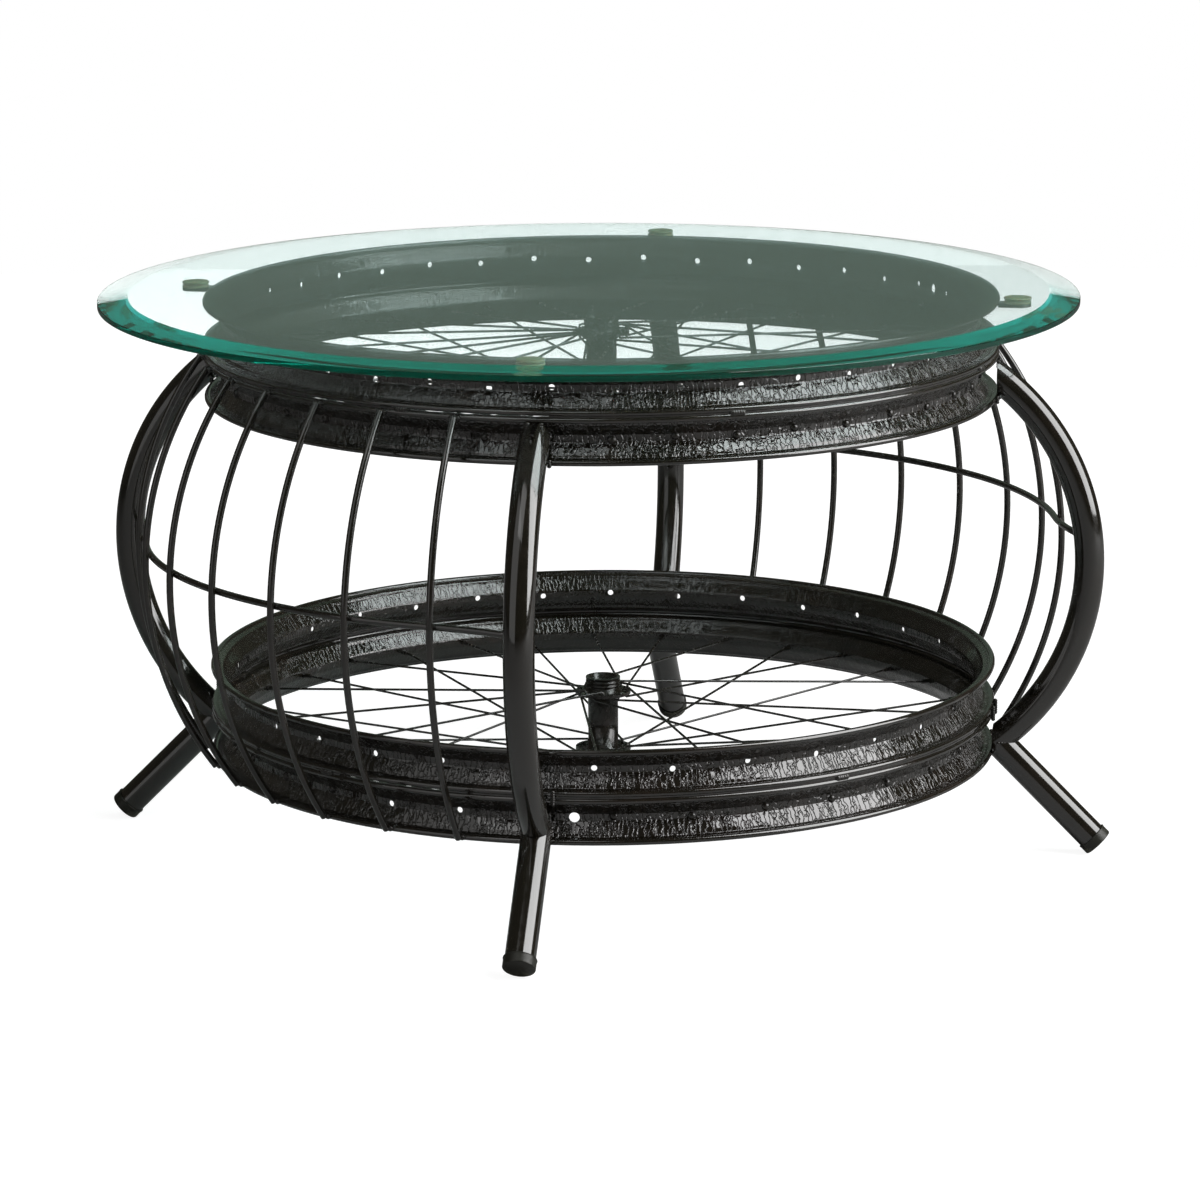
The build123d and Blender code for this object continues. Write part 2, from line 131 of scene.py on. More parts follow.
class StudioLook(bpy.types.PropertyGroup):
    """Floor, lamps and surroundings."""

    floor: tint("Floor", "Colour of the floor", 0.36, 0.36, 0.36)
    # Floor colour beyond the patch under the table: darker, a painted fall-off of the lamps' light
    far_floor: tint("Far floor", "Colour of the floor round the lit patch", 0.3, 0.3, 0.3)
    room: tint("Room", "Colour of the dim room", 0.049, 0.046, 0.037)
    backdrop: tint("Backdrop", "Light of the backdrop in reflections", 0.113, 0.147, 0.115)
    behind_glass: level("Behind glass", "Brightness of white seen through the pane", 2.3)
    along_glass: level("Along glass", "Brightness of white seen along the inside of the pane", 1.17)
    key_power: level("Key power", "Wall of light on the right", 185.0, "POWER")
    front_power: level("Front power", "Dim softbox over the camera", 3.8, "POWER")
    left_power: level("Left power", "Dim panel on the left", 6.4, "POWER")


class RimTableSettings(bpy.types.PropertyGroup):
    """All settings of the table."""

    sizes: PointerProperty(type=TableSizes)
    paint: PointerProperty(type=PaintLook)
    glass: PointerProperty(type=GlassLook)
    studio: PointerProperty(type=StudioLook)


def settings():
    """The scene's settings."""
    return bpy.context.scene.rim_table


# --- nodes
def feed(tree, fed, inputs):
    """Set or link inputs by name or number; a node stands for its first output."""
    for key, value in inputs.items():
        if isinstance(value, bpy.types.Node):
            value = value.outputs[0]
        if isinstance(value, bpy.types.NodeSocket):
            tree.links.new(value, fed.inputs[key])
        else:
            fed.inputs[key].default_value = value


def node(tree, kind, inputs=None, **properties):
    """New node; a kind that doesn't say Node is of the tree's own family."""
    made = tree.nodes.new(kind if "Node" in kind else tree.bl_idname[:-4] + kind)
    for key, value in properties.items():
        setattr(made, key, value)
    feed(tree, made, inputs or {})
    return made


def maths(tree, operation, *values):
    """Output of a Math node."""
    inputs = dict(enumerate(values))
    return node(tree, "ShaderNodeMath", inputs, operation=operation).outputs[0]


def product(tree, first, *others):
    """Product of several values."""
    for other in others:
        first = maths(tree, "MULTIPLY", first, other)
    return first


def vector(tree, operation, *values):
    """Output of a Vector Math node."""
    made = node(tree, "ShaderNodeVectorMath", dict(enumerate(values)), operation=operation)
    plain = operation in ("LENGTH", "DISTANCE", "DOT_PRODUCT")
    return made.outputs["Value" if plain else "Vector"]


def mapped(tree, value, low, high, to_low=0.0, to_high=1.0, smooth=False):
    """Value moved from one range to another, clamped."""
    return node(
        tree, "ShaderNodeMapRange",
        {"Value": value, "From Min": low, "From Max": high, "To Min": to_low, "To Max": to_high},
        interpolation_type="SMOOTHSTEP" if smooth else "LINEAR",
    ).outputs[0]


def noise(tree, inputs, output="Fac", dimensions="3D"):
    """Output of a Noise Texture node."""
    return node(tree, "ShaderNodeTexNoise", inputs, noise_dimensions=dimensions).outputs[output]


# --- geometry trees
RING = {
    "Copies": 8, "First azimuth": 0.0, "Step": 45.0, "Stagger": 0.0,
    "Missing from": -1, "Missing to": -1,
}
LUMPS = {"Lump size": 0.004, "Lump height": 0.0006, "Seed": 3.0}


def new_geometry_tree(name, defaults):
    """A geometry tree with the named inputs and a finish; returns it and its input sockets."""
    tree = bpy.data.node_groups.new(name, "GeometryNodeTree")
    new_socket = tree.interface.new_socket
    new_socket("Geometry", in_out="INPUT", socket_type="NodeSocketGeometry")
    for label, default in defaults.items():
        kind = "NodeSocketInt" if isinstance(default, int) else "NodeSocketFloat"
        new_socket(label, in_out="INPUT", socket_type=kind).default_value = default
    new_socket("Finish", in_out="INPUT", socket_type="NodeSocketMaterial")
    new_socket("Geometry", in_out="OUTPUT", socket_type="NodeSocketGeometry")
    return tree, tree.nodes.new("NodeGroupInput").outputs


def end_geometry_tree(tree, given, geometry):
    """Realize, set the finish and send the geometry out."""
    real = node(tree, "RealizeInstances", {0: geometry})
    painted = node(tree, "SetMaterial", {"Geometry": real, "Material": given["Finish"]})
    node(tree, "NodeGroupOutput", {0: painted})
    return tree


def evaluated_mesh(piece):
    """Plain mesh of a piece with its modifiers in it."""
    depsgraph = bpy.context.evaluated_depsgraph_get()
    return bpy.data.meshes.new_from_object(piece.evaluated_get(depsgraph), depsgraph=depsgraph)


def run_tree(maker, base, inputs):
    """Run a geometry tree, made on first use, on a scratch object; returns a plain mesh."""
    tree = bpy.data.node_groups.get(maker.__name__) or maker()
    modifier = base.modifiers.new(tree.name, "NODES")
    modifier.node_group = tree
    for item in tree.interface.items_tree:
        if item.item_type == "SOCKET" and item.in_out == "INPUT" and item.name in inputs:
            modifier[item.identifier] = inputs[item.name]
    mesh = evaluated_mesh(base)
    base.modifiers.remove(modifier)
    bpy.data.objects.remove(base)
    return mesh


def ring_of(tree, given, instance):
    """Copies of an instance round the Z axis, lifted and lowered in turn by the stagger."""
    index = node(tree, "InputIndex").outputs[0]
    swing = maths(tree, "MULTIPLY_ADD", maths(tree, "MODULO", index, 2.0), -2.0, 1.0)
    lift = product(tree, swing, given["Stagger"])
    place = node(tree, "ShaderNodeCombineXYZ", {"Z": lift})
    points = node(tree, "Points", {"Count": given["Copies"], "Position": place})
    turn = maths(tree, "MULTIPLY_ADD", index, given["Step"], given["First azimuth"])
    euler = node(tree, "ShaderNodeCombineXYZ", {"Z": maths(tree, "RADIANS", turn)})
    first = maths(tree, "SUBTRACT", given["Missing from"], 0.5)
    last = maths(tree, "ADD", given["Missing to"], 0.5)
    missing = product(
        tree, maths(tree, "GREATER_THAN", index, first), maths(tree, "LESS_THAN", index, last)
    )
    kept = maths(tree, "SUBTRACT", 1.0, missing)
    return node(
        tree, "InstanceOnPoints",
        {"Points": points, "Selection": kept, "Instance": instance, "Rotation": euler},
    )


def wire_ring():
    """Edges of the base mesh become round wire with filleted bends, copied round the axis."""
    sockets = {**RING, "Wire diameter": 0.002, "Bend radius": 0.002, "Sides": 10}
    tree, given = new_geometry_tree("wire_ring", sockets)
    curve = node(tree, "MeshToCurve", {"Mesh": given["Geometry"]})
    bent = node(
        tree, "FilletCurve",
        {"Curve": curve, "Count": 5, "Radius": given["Bend radius"], "Limit Radius": True},
        mode="POLY",
    )
    section = node(
        tree, "CurvePrimitiveCircle",
        {"Resolution": given["Sides"], "Radius": product(tree, given["Wire diameter"], 0.5)},
    )
    wire = node(
        tree, "CurveToMesh", {"Curve": bent, "Profile Curve": section, "Fill Caps": True}
    )
    return end_geometry_tree(tree, given, ring_of(tree, given, wire))


def part_ring():
    """The base mesh is copied round the axis."""
    tree, given = new_geometry_tree("part_ring", RING)
    return end_geometry_tree(tree, given, ring_of(tree, given, given["Geometry"]))


def lumpy(tree, given, geometry, detail, share=1.0):
    """Geometry pushed in and out by noise."""
    where = node(tree, "InputPosition")
    scale = maths(tree, "DIVIDE", 1.0, given["Lump size"])
    lumps = noise(
        tree, {"Vector": where, "W": given["Seed"], "Scale": scale, "Detail": detail},
        dimensions="4D",
    )
    height = product(tree, maths(tree, "SUBTRACT", lumps, 0.5), given["Lump height"], share)
    offset = vector(tree, "MULTIPLY", node(tree, "InputNormal"), height)
    return node(tree, "SetPosition", {"Geometry": geometry, "Offset": offset})


def drill(tree, given, geometry, diameter, spread):
    """Cut radial holes; spread puts the drill bit where the holes are."""
    radius = product(tree, diameter, 0.5)
    bit = node(
        tree, "MeshCylinder", {"Vertices": 20, "Radius": radius, "Depth": given["Drill depth"]}
    )
    place = node(
        tree, "ShaderNodeCombineXYZ", {"X": given["Well radius"], "Z": given["Middle"]}
    )
    lying = node(
        tree, "Transform",
        {"Geometry": bit, "Translation": place, "Rotation": (0.0, pi / 2, 0.0)},
    )
    bits = node(tree, "RealizeInstances", {0: spread(lying)})
    return node(
        tree, "MeshBoolean", {"Mesh 1": geometry, "Mesh 2": bits},
        operation="DIFFERENCE", solver="MANIFOLD",
    )


def painted_rim():
    """A rim's steel gets its coat of lumpy paint, its ring of spoke holes and its valve hole."""
    tree, given = new_geometry_tree("painted_rim", {
        **RING, **LUMPS, "Middle": 0.0, "Well radius": 0.31, "Lip": 0.325,
        "Drill depth": 0.01, "Hole diameter": 0.0048,
        "Valve azimuth": 0.0, "Valve diameter": 0.0083,
    })
    flat = vector(tree, "MULTIPLY", node(tree, "InputPosition"), FLAT)
    from_lip = maths(tree, "SUBTRACT", given["Lip"], vector(tree, "LENGTH", flat))
    away = vector(tree, "NORMALIZE", flat)
    facing = vector(tree, "DOT_PRODUCT", node(tree, "InputNormal"), away)
    share = product(
        tree,
        mapped(tree, from_lip, 0.0045, 0.008, 0.12, 1.0),
        mapped(tree, facing, -0.3, 0.3, 0.5, 1.0),
    )
    coated = lumpy(tree, given, given["Geometry"], 2.5, share)
    drilled = drill(
        tree, given, coated, given["Hole diameter"], lambda bit: ring_of(tree, given, bit)
    )
    turn = maths(tree, "RADIANS", given["Valve azimuth"])
    euler = node(tree, "ShaderNodeCombineXYZ", {"Z": turn})
    finished = drill(
        tree, given, drilled, given["Valve diameter"],
        lambda bit: node(tree, "Transform", {"Geometry": bit, "Rotation": euler}),
    )
    return end_geometry_tree(tree, given, finished)


def weld_ripples():
    """A lumpy bead of the point's size and turn stands on each point of the base mesh."""
    tree, given = new_geometry_tree("weld_ripples", LUMPS)
    ripple = node(tree, "MeshIcoSphere", {"Radius": 1.0, "Subdivisions": 3})
    size, turn = (
        node(tree, "InputNamedAttribute", {"Name": name}, data_type="FLOAT_VECTOR")
        for name in ("size", "turn")
    )
    ripples = node(
        tree, "InstanceOnPoints",
        {"Points": given["Geometry"], "Instance": ripple, "Rotation": turn, "Scale": size},
    )
    real = node(tree, "RealizeInstances", {0: ripples})
    return end_geometry_tree(tree, given, lumpy(tree, given, real, 1.0))


# --- meshes
def polar(radius, azimuth, height=0.0):
    """Point at a radius, azimuth and height."""
    return Vector((radius * cos(radians(azimuth)), radius * sin(radians(azimuth)), height))


def object_of(name, mesh):
    """A new object that holds a mesh."""
    mesh.name = name
    piece = bpy.data.objects.new(name, mesh)
    bpy.context.scene.collection.objects.link(piece)
    return piece


def object_from(name, vertices, faces=(), edges=()):
    """A new object from plain vertex, face and edge lists."""
    mesh = bpy.data.meshes.new(name)
    mesh.from_pydata([tuple(v) for v in vertices], edges, faces)
    mesh.update()
    return object_of(name, mesh)


def joined(name, meshes):
    """One object from several meshes that share a material."""
    whole = bmesh.new()
    for mesh in meshes:
        whole.from_mesh(mesh)
    result = bpy.data.meshes.new(name)
    whole.to_mesh(result)
    whole.free()
    for material in meshes[0].materials:
        result.materials.append(material)
    for mesh in meshes:
        bpy.data.meshes.remove(mesh)
    return object_of(name, result)


def shade(piece, crease=38.0):
    """Smooth shading with sharp edges where faces meet at more than the crease angle."""
    piece.data.shade_smooth()
    piece.data.set_sharp_from_angle(angle=radians(crease))
    return piece


def turned(name, outline, segments, place=Matrix()):
    """Object of a counter-clockwise (radius, height) outline turned about the Z axis, then placed.

    The outline closes on itself unless both its ends lie on the axis."""
    on_axis = [radius < 1e-9 for radius, _ in outline]
    vertices, rows = [], []
    for (radius, height), pole in zip(outline, on_axis):
        count = 1 if pole else segments
        rows.append([len(vertices) + i % count for i in range(segments + 1)])
        for i in range(count):
            angle = 2 * pi * i / segments
            vertices.append((radius * cos(angle), radius * sin(angle), height))
    pairs = list(zip(rows, rows[1:]))
    if not (on_axis[0] and on_axis[-1]):
        pairs.append((rows[-1], rows[0]))
    faces = []
    for low, high in pairs:
        for i in range(segments):
            face = tuple(dict.fromkeys((low[i], low[i + 1], high[i + 1], high[i])))
            if len(face) > 2:
                faces.append(face)
    piece = object_from(name, vertices, faces)
    piece.data.transform(place)
    return piece


def arc_points(centre, radius, start, sweep, steps):
    """Points of a flat arc."""
    angles = [radians(start + sweep * i / steps) for i in range(steps + 1)]
    return [(centre[0] + radius * cos(a), centre[1] + radius * sin(a)) for a in angles]


def circle_through(a, b, c):
    """Centre and radius of the circle through three flat points."""
    (ax, ay), (bx, by), (cx, cy) = a, b, c
    aa, bb, cc = ax**2 + ay**2, bx**2 + by**2, cx**2 + cy**2
    d = 2 * (ax * (by - cy) + bx * (cy - ay) + cx * (ay - by))
    ux = (aa * (by - cy) + bb * (cy - ay) + cc * (ay - by)) / d
    uy = (aa * (cx - bx) + bb * (ax - cx) + cc * (bx - ax)) / d
    return (ux, uy), sqrt((ax - ux) ** 2 + (ay - uy) ** 2)


def upright_arc(start, middle, end, steps, run_out=0.0):
    """Points (radius, height) of the arc through three points, carried on straight at the ends."""
    centre, radius = circle_through(start, middle, end)
    first, last = (
        degrees(atan2(point[1] - centre[1], point[0] - centre[0])) for point in (start, end)
    )
    points = arc_points(centre, radius, first, last - first, steps)
    if run_out:
        for place, neighbour in ((0, 1), (-1, -2)):
            there = Vector(points[place])
            away = (there - Vector(points[neighbour])).normalized() * run_out
            points.insert(0 if place == 0 else len(points), tuple(there + away))
    return points


def tube_along(name, points, radius, sides):
    """Closed tube along a flat path given as (radius from the axis, height) in the XZ plane."""
    centres = [Vector((p[0], 0.0, p[1])) for p in points]
    across = Vector((0.0, 1.0, 0.0))
    vertices, faces = [], []
    for i, centre in enumerate(centres):
        along = centres[min(i + 1, len(centres) - 1)] - centres[max(i - 1, 0)]
        out = across.cross(along.normalized())
        for k in range(sides):
            angle = 2 * pi * k / sides
            vertices.append(centre + out * (radius * cos(angle)) + across * (radius * sin(angle)))
    last = (len(centres) - 1) * sides
    for row in range(0, last, sides):
        for k in range(sides):
            a, b = row + k, row + (k + 1) % sides
            faces.append((a, b, b + sides, a + sides))
    faces += [tuple(reversed(range(sides))), tuple(range(last, last + sides))]
    return object_from(name, vertices, faces)


def cut_away(piece, *cutters):
    """Take cutter objects out of a piece one after the other and delete them."""
    for cutter in cutters:
        modifier = piece.modifiers.new("cut", "BOOLEAN")
        modifier.operation = "DIFFERENCE"
        modifier.solver = "MANIFOLD"
        modifier.object = cutter
    mesh = evaluated_mesh(piece)
    piece.modifiers.clear()
    piece.data = mesh
    for cutter in cutters:
        bpy.data.objects.remove(cutter)
    return piece


def finish_piece(piece, material, *nodes, slot="black_paint", body="frame"):
    """Finish, ride and stand in for CAD nodes."""
    piece.data.materials.clear()
    piece.data.materials.append(material)
    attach(piece, body)
    if nodes:
        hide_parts(*nodes)


def grown(name, maker, base, inputs, finish, crease, *nodes):
    """Piece that a geometry tree makes from a scratch object."""
    mesh = run_tree(maker, base, {**inputs, "Finish": finish})
    finish_piece(shade(object_of(name, mesh), crease), finish, *nodes)


def smooth_copy(name, cad_name, material):
    """Merged, smooth-shaded copy of a CAD node, for shapes that the frame already holds right."""
    whole = bmesh.new()
    whole.from_mesh(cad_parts[cad_name].data)
    bmesh.ops.remove_doubles(whole, verts=whole.verts, dist=1e-6)
    mesh = bpy.data.meshes.new(name)
    whole.to_mesh(mesh)
    whole.free()
    finish_piece(shade(object_of(name, mesh)), material, cad_name)


def on_legs(pattern, name, cad_name, crease, material, slot="black_paint", also=None):
    """Stand a copy of a pattern at each leg, and what else stands there; drop the pattern."""
    for leg, azimuth in LEGS.items():
        mesh = pattern.data.copy()
        mesh.transform(Matrix.Rotation(radians(azimuth), 4, "Z"))
        piece = shade(object_of(f"{name}_{leg}", mesh), crease)
        finish_piece(piece, material, f"{cad_name}_{leg}", slot=slot)
        if also:
            also(leg)
    bpy.data.objects.remove(pattern)


# --- materials
PAINTS = {
    "rim_paint": (0.075, 0.55, 0.00002, 0.7, 1.0),
    "tube_paint": (0.11, 0.6, 0.000012, 0.35, 1.0),
    "rod_paint": (0.16, 0.4, 0.00002, 0.6, 1.0),
    "spoke_paint": (0.22, 0.2, 0.00002, 0.8, 1.0),
    "hub_paint": (0.22, 0.25, 0.00006, 0.7, 0.7),
}  # roughness, coat, depth of the orange peel, wear, specular level


def new_material(name):
    """A node material; returns it, its tree, its Principled shader and its output node."""
    material = bpy.data.materials.new(name)
    material.use_nodes = True
    nodes = material.node_tree.nodes
    shader, output = (
        next(n for n in nodes if n.type == kind) for kind in ("BSDF_PRINCIPLED", "OUTPUT_MATERIAL")
    )
    return material, material.node_tree, shader, output


def object_place(tree):
    """Object coordinates."""
    return node(tree, "TexCoord").outputs["Object"]


def object_noise(tree, spacing, detail=2.0, seed_shift=0.0, distortion=0.0):
    """Noise with features about that far apart on the surface."""
    shift = {"Vector": object_place(tree), "Location": (seed_shift,) * 3}
    inputs = {"Scale": 1.0 / spacing, "Detail": detail, "Distortion": distortion}
    return noise(tree, {"Vector": node(tree, "Mapping", shift), **inputs})


def blend_colour(tree, factor, first, second):
    """Mix of two colours."""
    made = node(tree, "Mix", {0: factor}, data_type="RGBA")
    colours = [s for s in made.inputs if s.type == "RGBA"]
    for socket, colour in zip(colours, (first, second)):
        socket.default_value = (*colour, 1.0)
    return next(s for s in made.outputs if s.type == "RGBA")


def mix(tree, factor, first, second):
    """Mix of two shaders."""
    return node(tree, "MixShader", {0: factor, 1: first, 2: second})


def bump(tree, height, strength=1.0, distance=1.0):
    """Normal bent by a height."""
    inputs = {"Height": height, "Strength": strength, "Distance": distance}
    return node(tree, "Bump", inputs)


def wrinkles(tree):
    """Height of the rims' wrinkled paint, and a mask of the faces turned away from the axis."""
    look = settings().paint
    squash, drift, crack, sag = 0.27, 1.3, 0.13, 1.1
    where = object_place(tree)
    parts = node(tree, "SeparateXYZ", {0: where}).outputs
    flat = vector(tree, "MULTIPLY", where, FLAT)
    radius = vector(tree, "LENGTH", flat)
    turn = maths(tree, "ARCTAN2", parts["Y"], parts["X"])
    unrolled = node(tree, "CombineXYZ", {
        "X": product(tree, turn, LIP / look.lump_size),
        "Y": product(tree, parts["Z"], squash / look.lump_size),
        "Z": product(tree, radius, squash / look.lump_size),
    }).outputs[0]
    drifts = noise(tree, {"Vector": where, "Scale": 0.7 / look.lump_size, "Detail": 2.0}, "Color")
    bent = vector(tree, "MULTIPLY_ADD", drifts, (drift,) * 3, unrolled)
    edges = node(
        tree, "TexVoronoi", {"Vector": bent, "Scale": 1.0}, feature="DISTANCE_TO_EDGE"
    ).outputs["Distance"]
    plates = mapped(tree, edges, 0.0, crack, smooth=True)
    sags = noise(tree, {"Vector": unrolled, "Scale": 0.7, "Detail": 2.0})
    height = maths(tree, "MULTIPLY_ADD", sags, sag, plates)
    channel = mapped(tree, radius, LIP - 0.0056, LIP - 0.0046, 1.0, 0.05, smooth=True)
    normal = node(tree, "NewGeometry").outputs["True Normal"]
    facing = vector(tree, "DOT_PRODUCT", normal, flat)
    outside = mapped(tree, facing, -0.05, 0.05)
    patch = mapped(tree, object_noise(tree, 0.05, 2.0, 5.2), 0.35, 0.6, 0.75, 1.0, smooth=True)
    side = mapped(tree, outside, 0.0, 1.0, 0.4, 1.0)
    return product(tree, height, channel, patch, side, look.lump_height), outside


def paint(name):
    """Gloss paint, made on first use: orange peel, thin patches and, on the rims, wrinkles."""
    if name in bpy.data.materials:
        return bpy.data.materials[name]
    look = settings().paint
    roughness, coat, orange_peel, wear, specular = PAINTS[name]
    material, tree, shader, _ = new_material(name)
    patches = object_noise(tree, 0.045, 3.0)
    grime = object_noise(tree, 0.006, 3.0, 3.1)
    worn = maths(tree, "MULTIPLY_ADD", grime, 0.5, patches)
    thin = mapped(tree, worn, 0.68, 0.95, 0.0, wear, smooth=True)
    height = product(tree, object_noise(tree, 0.0035, 1.0, 7.7), orange_peel)
    if name == "rim_paint":
        wrinkle, outside = wrinkles(tree)
        height = maths(tree, "ADD", wrinkle, height)
        specular = mapped(tree, outside, 0.0, 1.0, 0.9, specular)
        coat = mapped(tree, outside, 0.0, 1.0, 0.4, coat)
    normal = bump(tree, height)
    feed(tree, shader, {
        "Base Color": blend_colour(tree, thin, look.colour, look.worn_colour),
        "Roughness": mapped(tree, grime, 0.35, 0.7, roughness * 0.75, roughness * 1.5),
        "Specular IOR Level": specular,
        "Coat Weight": coat, "Coat Roughness": roughness * 0.5,
        "Normal": normal, "Coat Normal": normal,
    })
    return material


def glass_material():
    """Clear float glass that tints light by the length of its way inside."""
    look = settings().glass
    material, tree, shader, output = new_material("clear_glass")
    middle = (glass_middle.x, glass_middle.y, 0.0)
    away = vector(tree, "SUBTRACT", object_place(tree), middle)
    radius = vector(tree, "LENGTH", vector(tree, "MULTIPLY", away, FLAT))
    ground = mapped(tree, radius, glass_radius - 0.0007, glass_radius - 0.0004)
    feed(tree, shader, {
        "Base Color": blend_colour(tree, ground, (1.0, 1.0, 1.0), look.edge),
        "Transmission Weight": 1.0, "IOR": 1.5,
        "Roughness": mapped(tree, object_noise(tree, 0.09, 4.0, 2.0), 0.45, 0.75, 0.0, 0.003),
        "Normal": bump(tree, product(tree, object_noise(tree, 0.16, 1.0, 9.0), 0.00002)),
    })
    inside = node(
        tree, "VolumeAbsorption", {"Color": (*look.colour, 1.0), "Density": look.density}
    )
    shadow = node(tree, "LightPath").outputs["Is Shadow Ray"]
    clear = node(tree, "BsdfTransparent", {"Color": (0.86, 0.93, 0.9, 1.0)})
    both = mix(tree, shadow, shader, clear)
    feed(tree, output, {"Volume": inside, "Surface": both})
    return material


def rubber_material():
    """Soft translucent olive-grey rubber of the pads."""
    material, tree, shader, _ = new_material("pad_rubber")
    cloud = object_noise(tree, 0.004, 3.0)
    pale = mapped(tree, cloud, 0.3, 0.7)
    feed(tree, shader, {
        "Base Color": blend_colour(tree, pale, (0.31, 0.31, 0.2), (0.45, 0.45, 0.3)),
        "Roughness": mapped(tree, cloud, 0.3, 0.7, 0.35, 0.55),
        "Subsurface Weight": 0.3, "Subsurface Scale": 0.003,
        "Normal": bump(tree, cloud, 0.4, 0.0004),
    })
    return material


def cap_material():
    """Dull black plastic of the foot caps, scuffed near the floor."""
    material, tree, shader, _ = new_material("cap_plastic")
    height = node(tree, "SeparateXYZ", {0: object_place(tree)}).outputs["Z"]
    scratches = object_noise(tree, 0.002, 3.0, 0.0, 1.0)
    near_floor = mapped(tree, height, 0.0, 0.012, 0.4, 0.0, smooth=True)
    worn = maths(tree, "ADD", scratches, near_floor)
    scuff = mapped(tree, worn, 0.55, 0.95, smooth=True)
    feed(tree, shader, {
        "Base Color": blend_colour(tree, scuff, (0.016, 0.016, 0.011), (0.1, 0.1, 0.075)),
        "Roughness": mapped(tree, scratches, 0.3, 0.7, 0.32, 0.5),
        "Normal": bump(tree, scratches, 0.3, 0.0002),
    })
    return material


# --- glass and pads
class RIMTABLE_OT_glass_top(bpy.types.Operator):
    """Build the round bevelled glass"""

    bl_idname = "rimtable.glass_top"
    bl_label = "Glass Top"

    def execute(self, context):
        sizes = settings().sizes
        radius, low, high = glass_radius, glass_low.z, glass_high.z
        land = high - sizes.bevel_drop
        edge = 0.0006
        outline = [(0.0, low), (0.3 * radius, low), (radius - edge, low)]
        outline += arc_points((radius - edge, low + edge), edge, -60.0, 60.0, 2)
        outline += [(radius, land - edge / 2), (radius - edge / 2, land + edge * 0.1)]
        outline += [(radius - sizes.bevel_width, high), (0.3 * radius, high), (0.0, high)]
        place = Matrix.Translation((glass_middle.x, glass_middle.y, 0.0))
        pane = shade(turned("glass_pane", outline, 512, place), 4.0)
        finish_piece(pane, glass_material(), "glass_top", slot="glass", body="glass")
        return {"FINISHED"}


class RIMTABLE_OT_pads(bpy.types.Operator):
    """Build the four grooved rubber pads and the tabs that carry them"""

    bl_idname = "rimtable.pads"
    bl_label = "Pads and Tabs"

    def execute(self, context):
        radius = (pad_high.y - pad_low.y) / 2
        height = pad_high.z - pad_low.z
        soft, groove = 0.0007, 0.0012
        disc = (height - groove) / 2
        rim = radius - soft
        outline = [(0.0, 0.0), (rim, 0.0)]
        outline += arc_points((rim, soft), soft, -45.0, 45.0, 2)
        outline += arc_points((rim, disc - soft), soft, 0.0, 90.0, 3)
        outline += [(radius * 0.8, disc), (radius * 0.8, height - disc)]
        outline += arc_points((rim, height - disc + soft), soft, -90.0, 90.0, 3)
        outline += arc_points((rim, height - soft), soft, 0.0, 90.0, 3)
        outline += [(0.0, height)]
        place = Matrix.Translation(((pad_low.x + pad_high.x) / 2, 0.0, pad_low.z))
        pattern = turned("pad_pattern", outline, 48, place)
        on_legs(
            pattern, "rubber_pad", "glass_pad", 60.0, rubber_material(), "pad_rubber",
            lambda leg: smooth_copy(f"pad_bracket_{leg}", f"pad_tab_{leg}", paint("rod_paint")),
        )
        return {"FINISHED"}


# --- rims
RIMS = {
    "bottom_lower": (32, 10.4, -85.2),
    "bottom_upper": (32, 7.65, 182.0),
    "top_lower": (40, 1.35, 176.85),
    "top_upper": (40, 2.0, 33.5),
}  # holes, first hole's azimuth, valve hole's azimuth
HOLE_STAGGER = 0.001


def mirrored(points):
    """Flat points turned upside down, in reverse order."""
    return [(x, -y) for x, y in reversed(points)]


def rounded(points, radius, steps):
    """Flat path with its inner corners rounded."""
    result = [points[0]]
    for before, corner, after in zip(points, points[1:], points[2:]):
        here = Vector(corner)
        back, ahead = Vector(before) - here, Vector(after) - here
        reach = min(radius, 0.45 * back.length, 0.45 * ahead.length)
        start = here + back.normalized() * reach
        end = here + ahead.normalized() * reach
        for i in range(steps + 1):
            t = i / steps
            result.append(tuple(start * (1 - t) ** 2 + here * (2 * t * (1 - t)) + end * t**2))
    return result + [points[-1]]


def finely(points, spacing):
    """Flat path with its long runs broken into steps of about a spacing."""
    result = [points[0]]
    for before, after in zip(points, points[1:]):
        start, end = Vector(before), Vector(after)
        steps = max(1, round((end - start).length / spacing))
        result += [tuple(start.lerp(end, i / steps)) for i in range(1, steps + 1)]
    return result


def offset_line(points, distance):
    """Flat path moved to its right by a distance."""
    result = []
    for i, (x, y) in enumerate(points):
        ahead = Vector(points[min(i + 1, len(points) - 1)])
        along = (ahead - Vector(points[max(i - 1, 0)])).normalized()
        result.append((x + along.y * distance, y - along.x * distance))
    return result


def rim_outline(middle):
    """Counter-clockwise outline of a rim: beaded lips, bead seats and a round-bottomed well."""
    sizes = settings().sizes
    wall, lip = sizes.rim_wall / 2, sizes.lip_radius
    well = LIP - sizes.rim_depth + wall
    bead = (LIP - lip, (rim_high.z - rim_low.z) / 2 - lip)
    half = [
        bead,
        (well + 0.0070, bead[1] - 0.0018),
        (well + 0.0061, bead[1] - 0.0044),
        (well + 0.0010, 0.0046),
        (well, 0.0030),
    ]
    soft = finely(rounded(half + mirrored(half), 0.0034, 3), 0.0017)
    slope = degrees(atan2(half[1][1] - half[0][1], half[1][0] - half[0][0]))
    opening = degrees(asin(wall / lip))
    top_bead = arc_points(bead, lip, slope + opening, 360.0 - 2 * opening, 12)
    channel_side = offset_line(soft, -wall)[::-1][1:-1]
    axis_side = offset_line(soft, wall)[1:-1]
    outline = channel_side + top_bead + axis_side + mirrored(top_bead)
    return [(x, y + middle) for x, y in outline]


def middle_of(cad_name):
    """Height of the middle of a CAD node."""
    low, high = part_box(cad_name)
    return (low.z + high.z) / 2


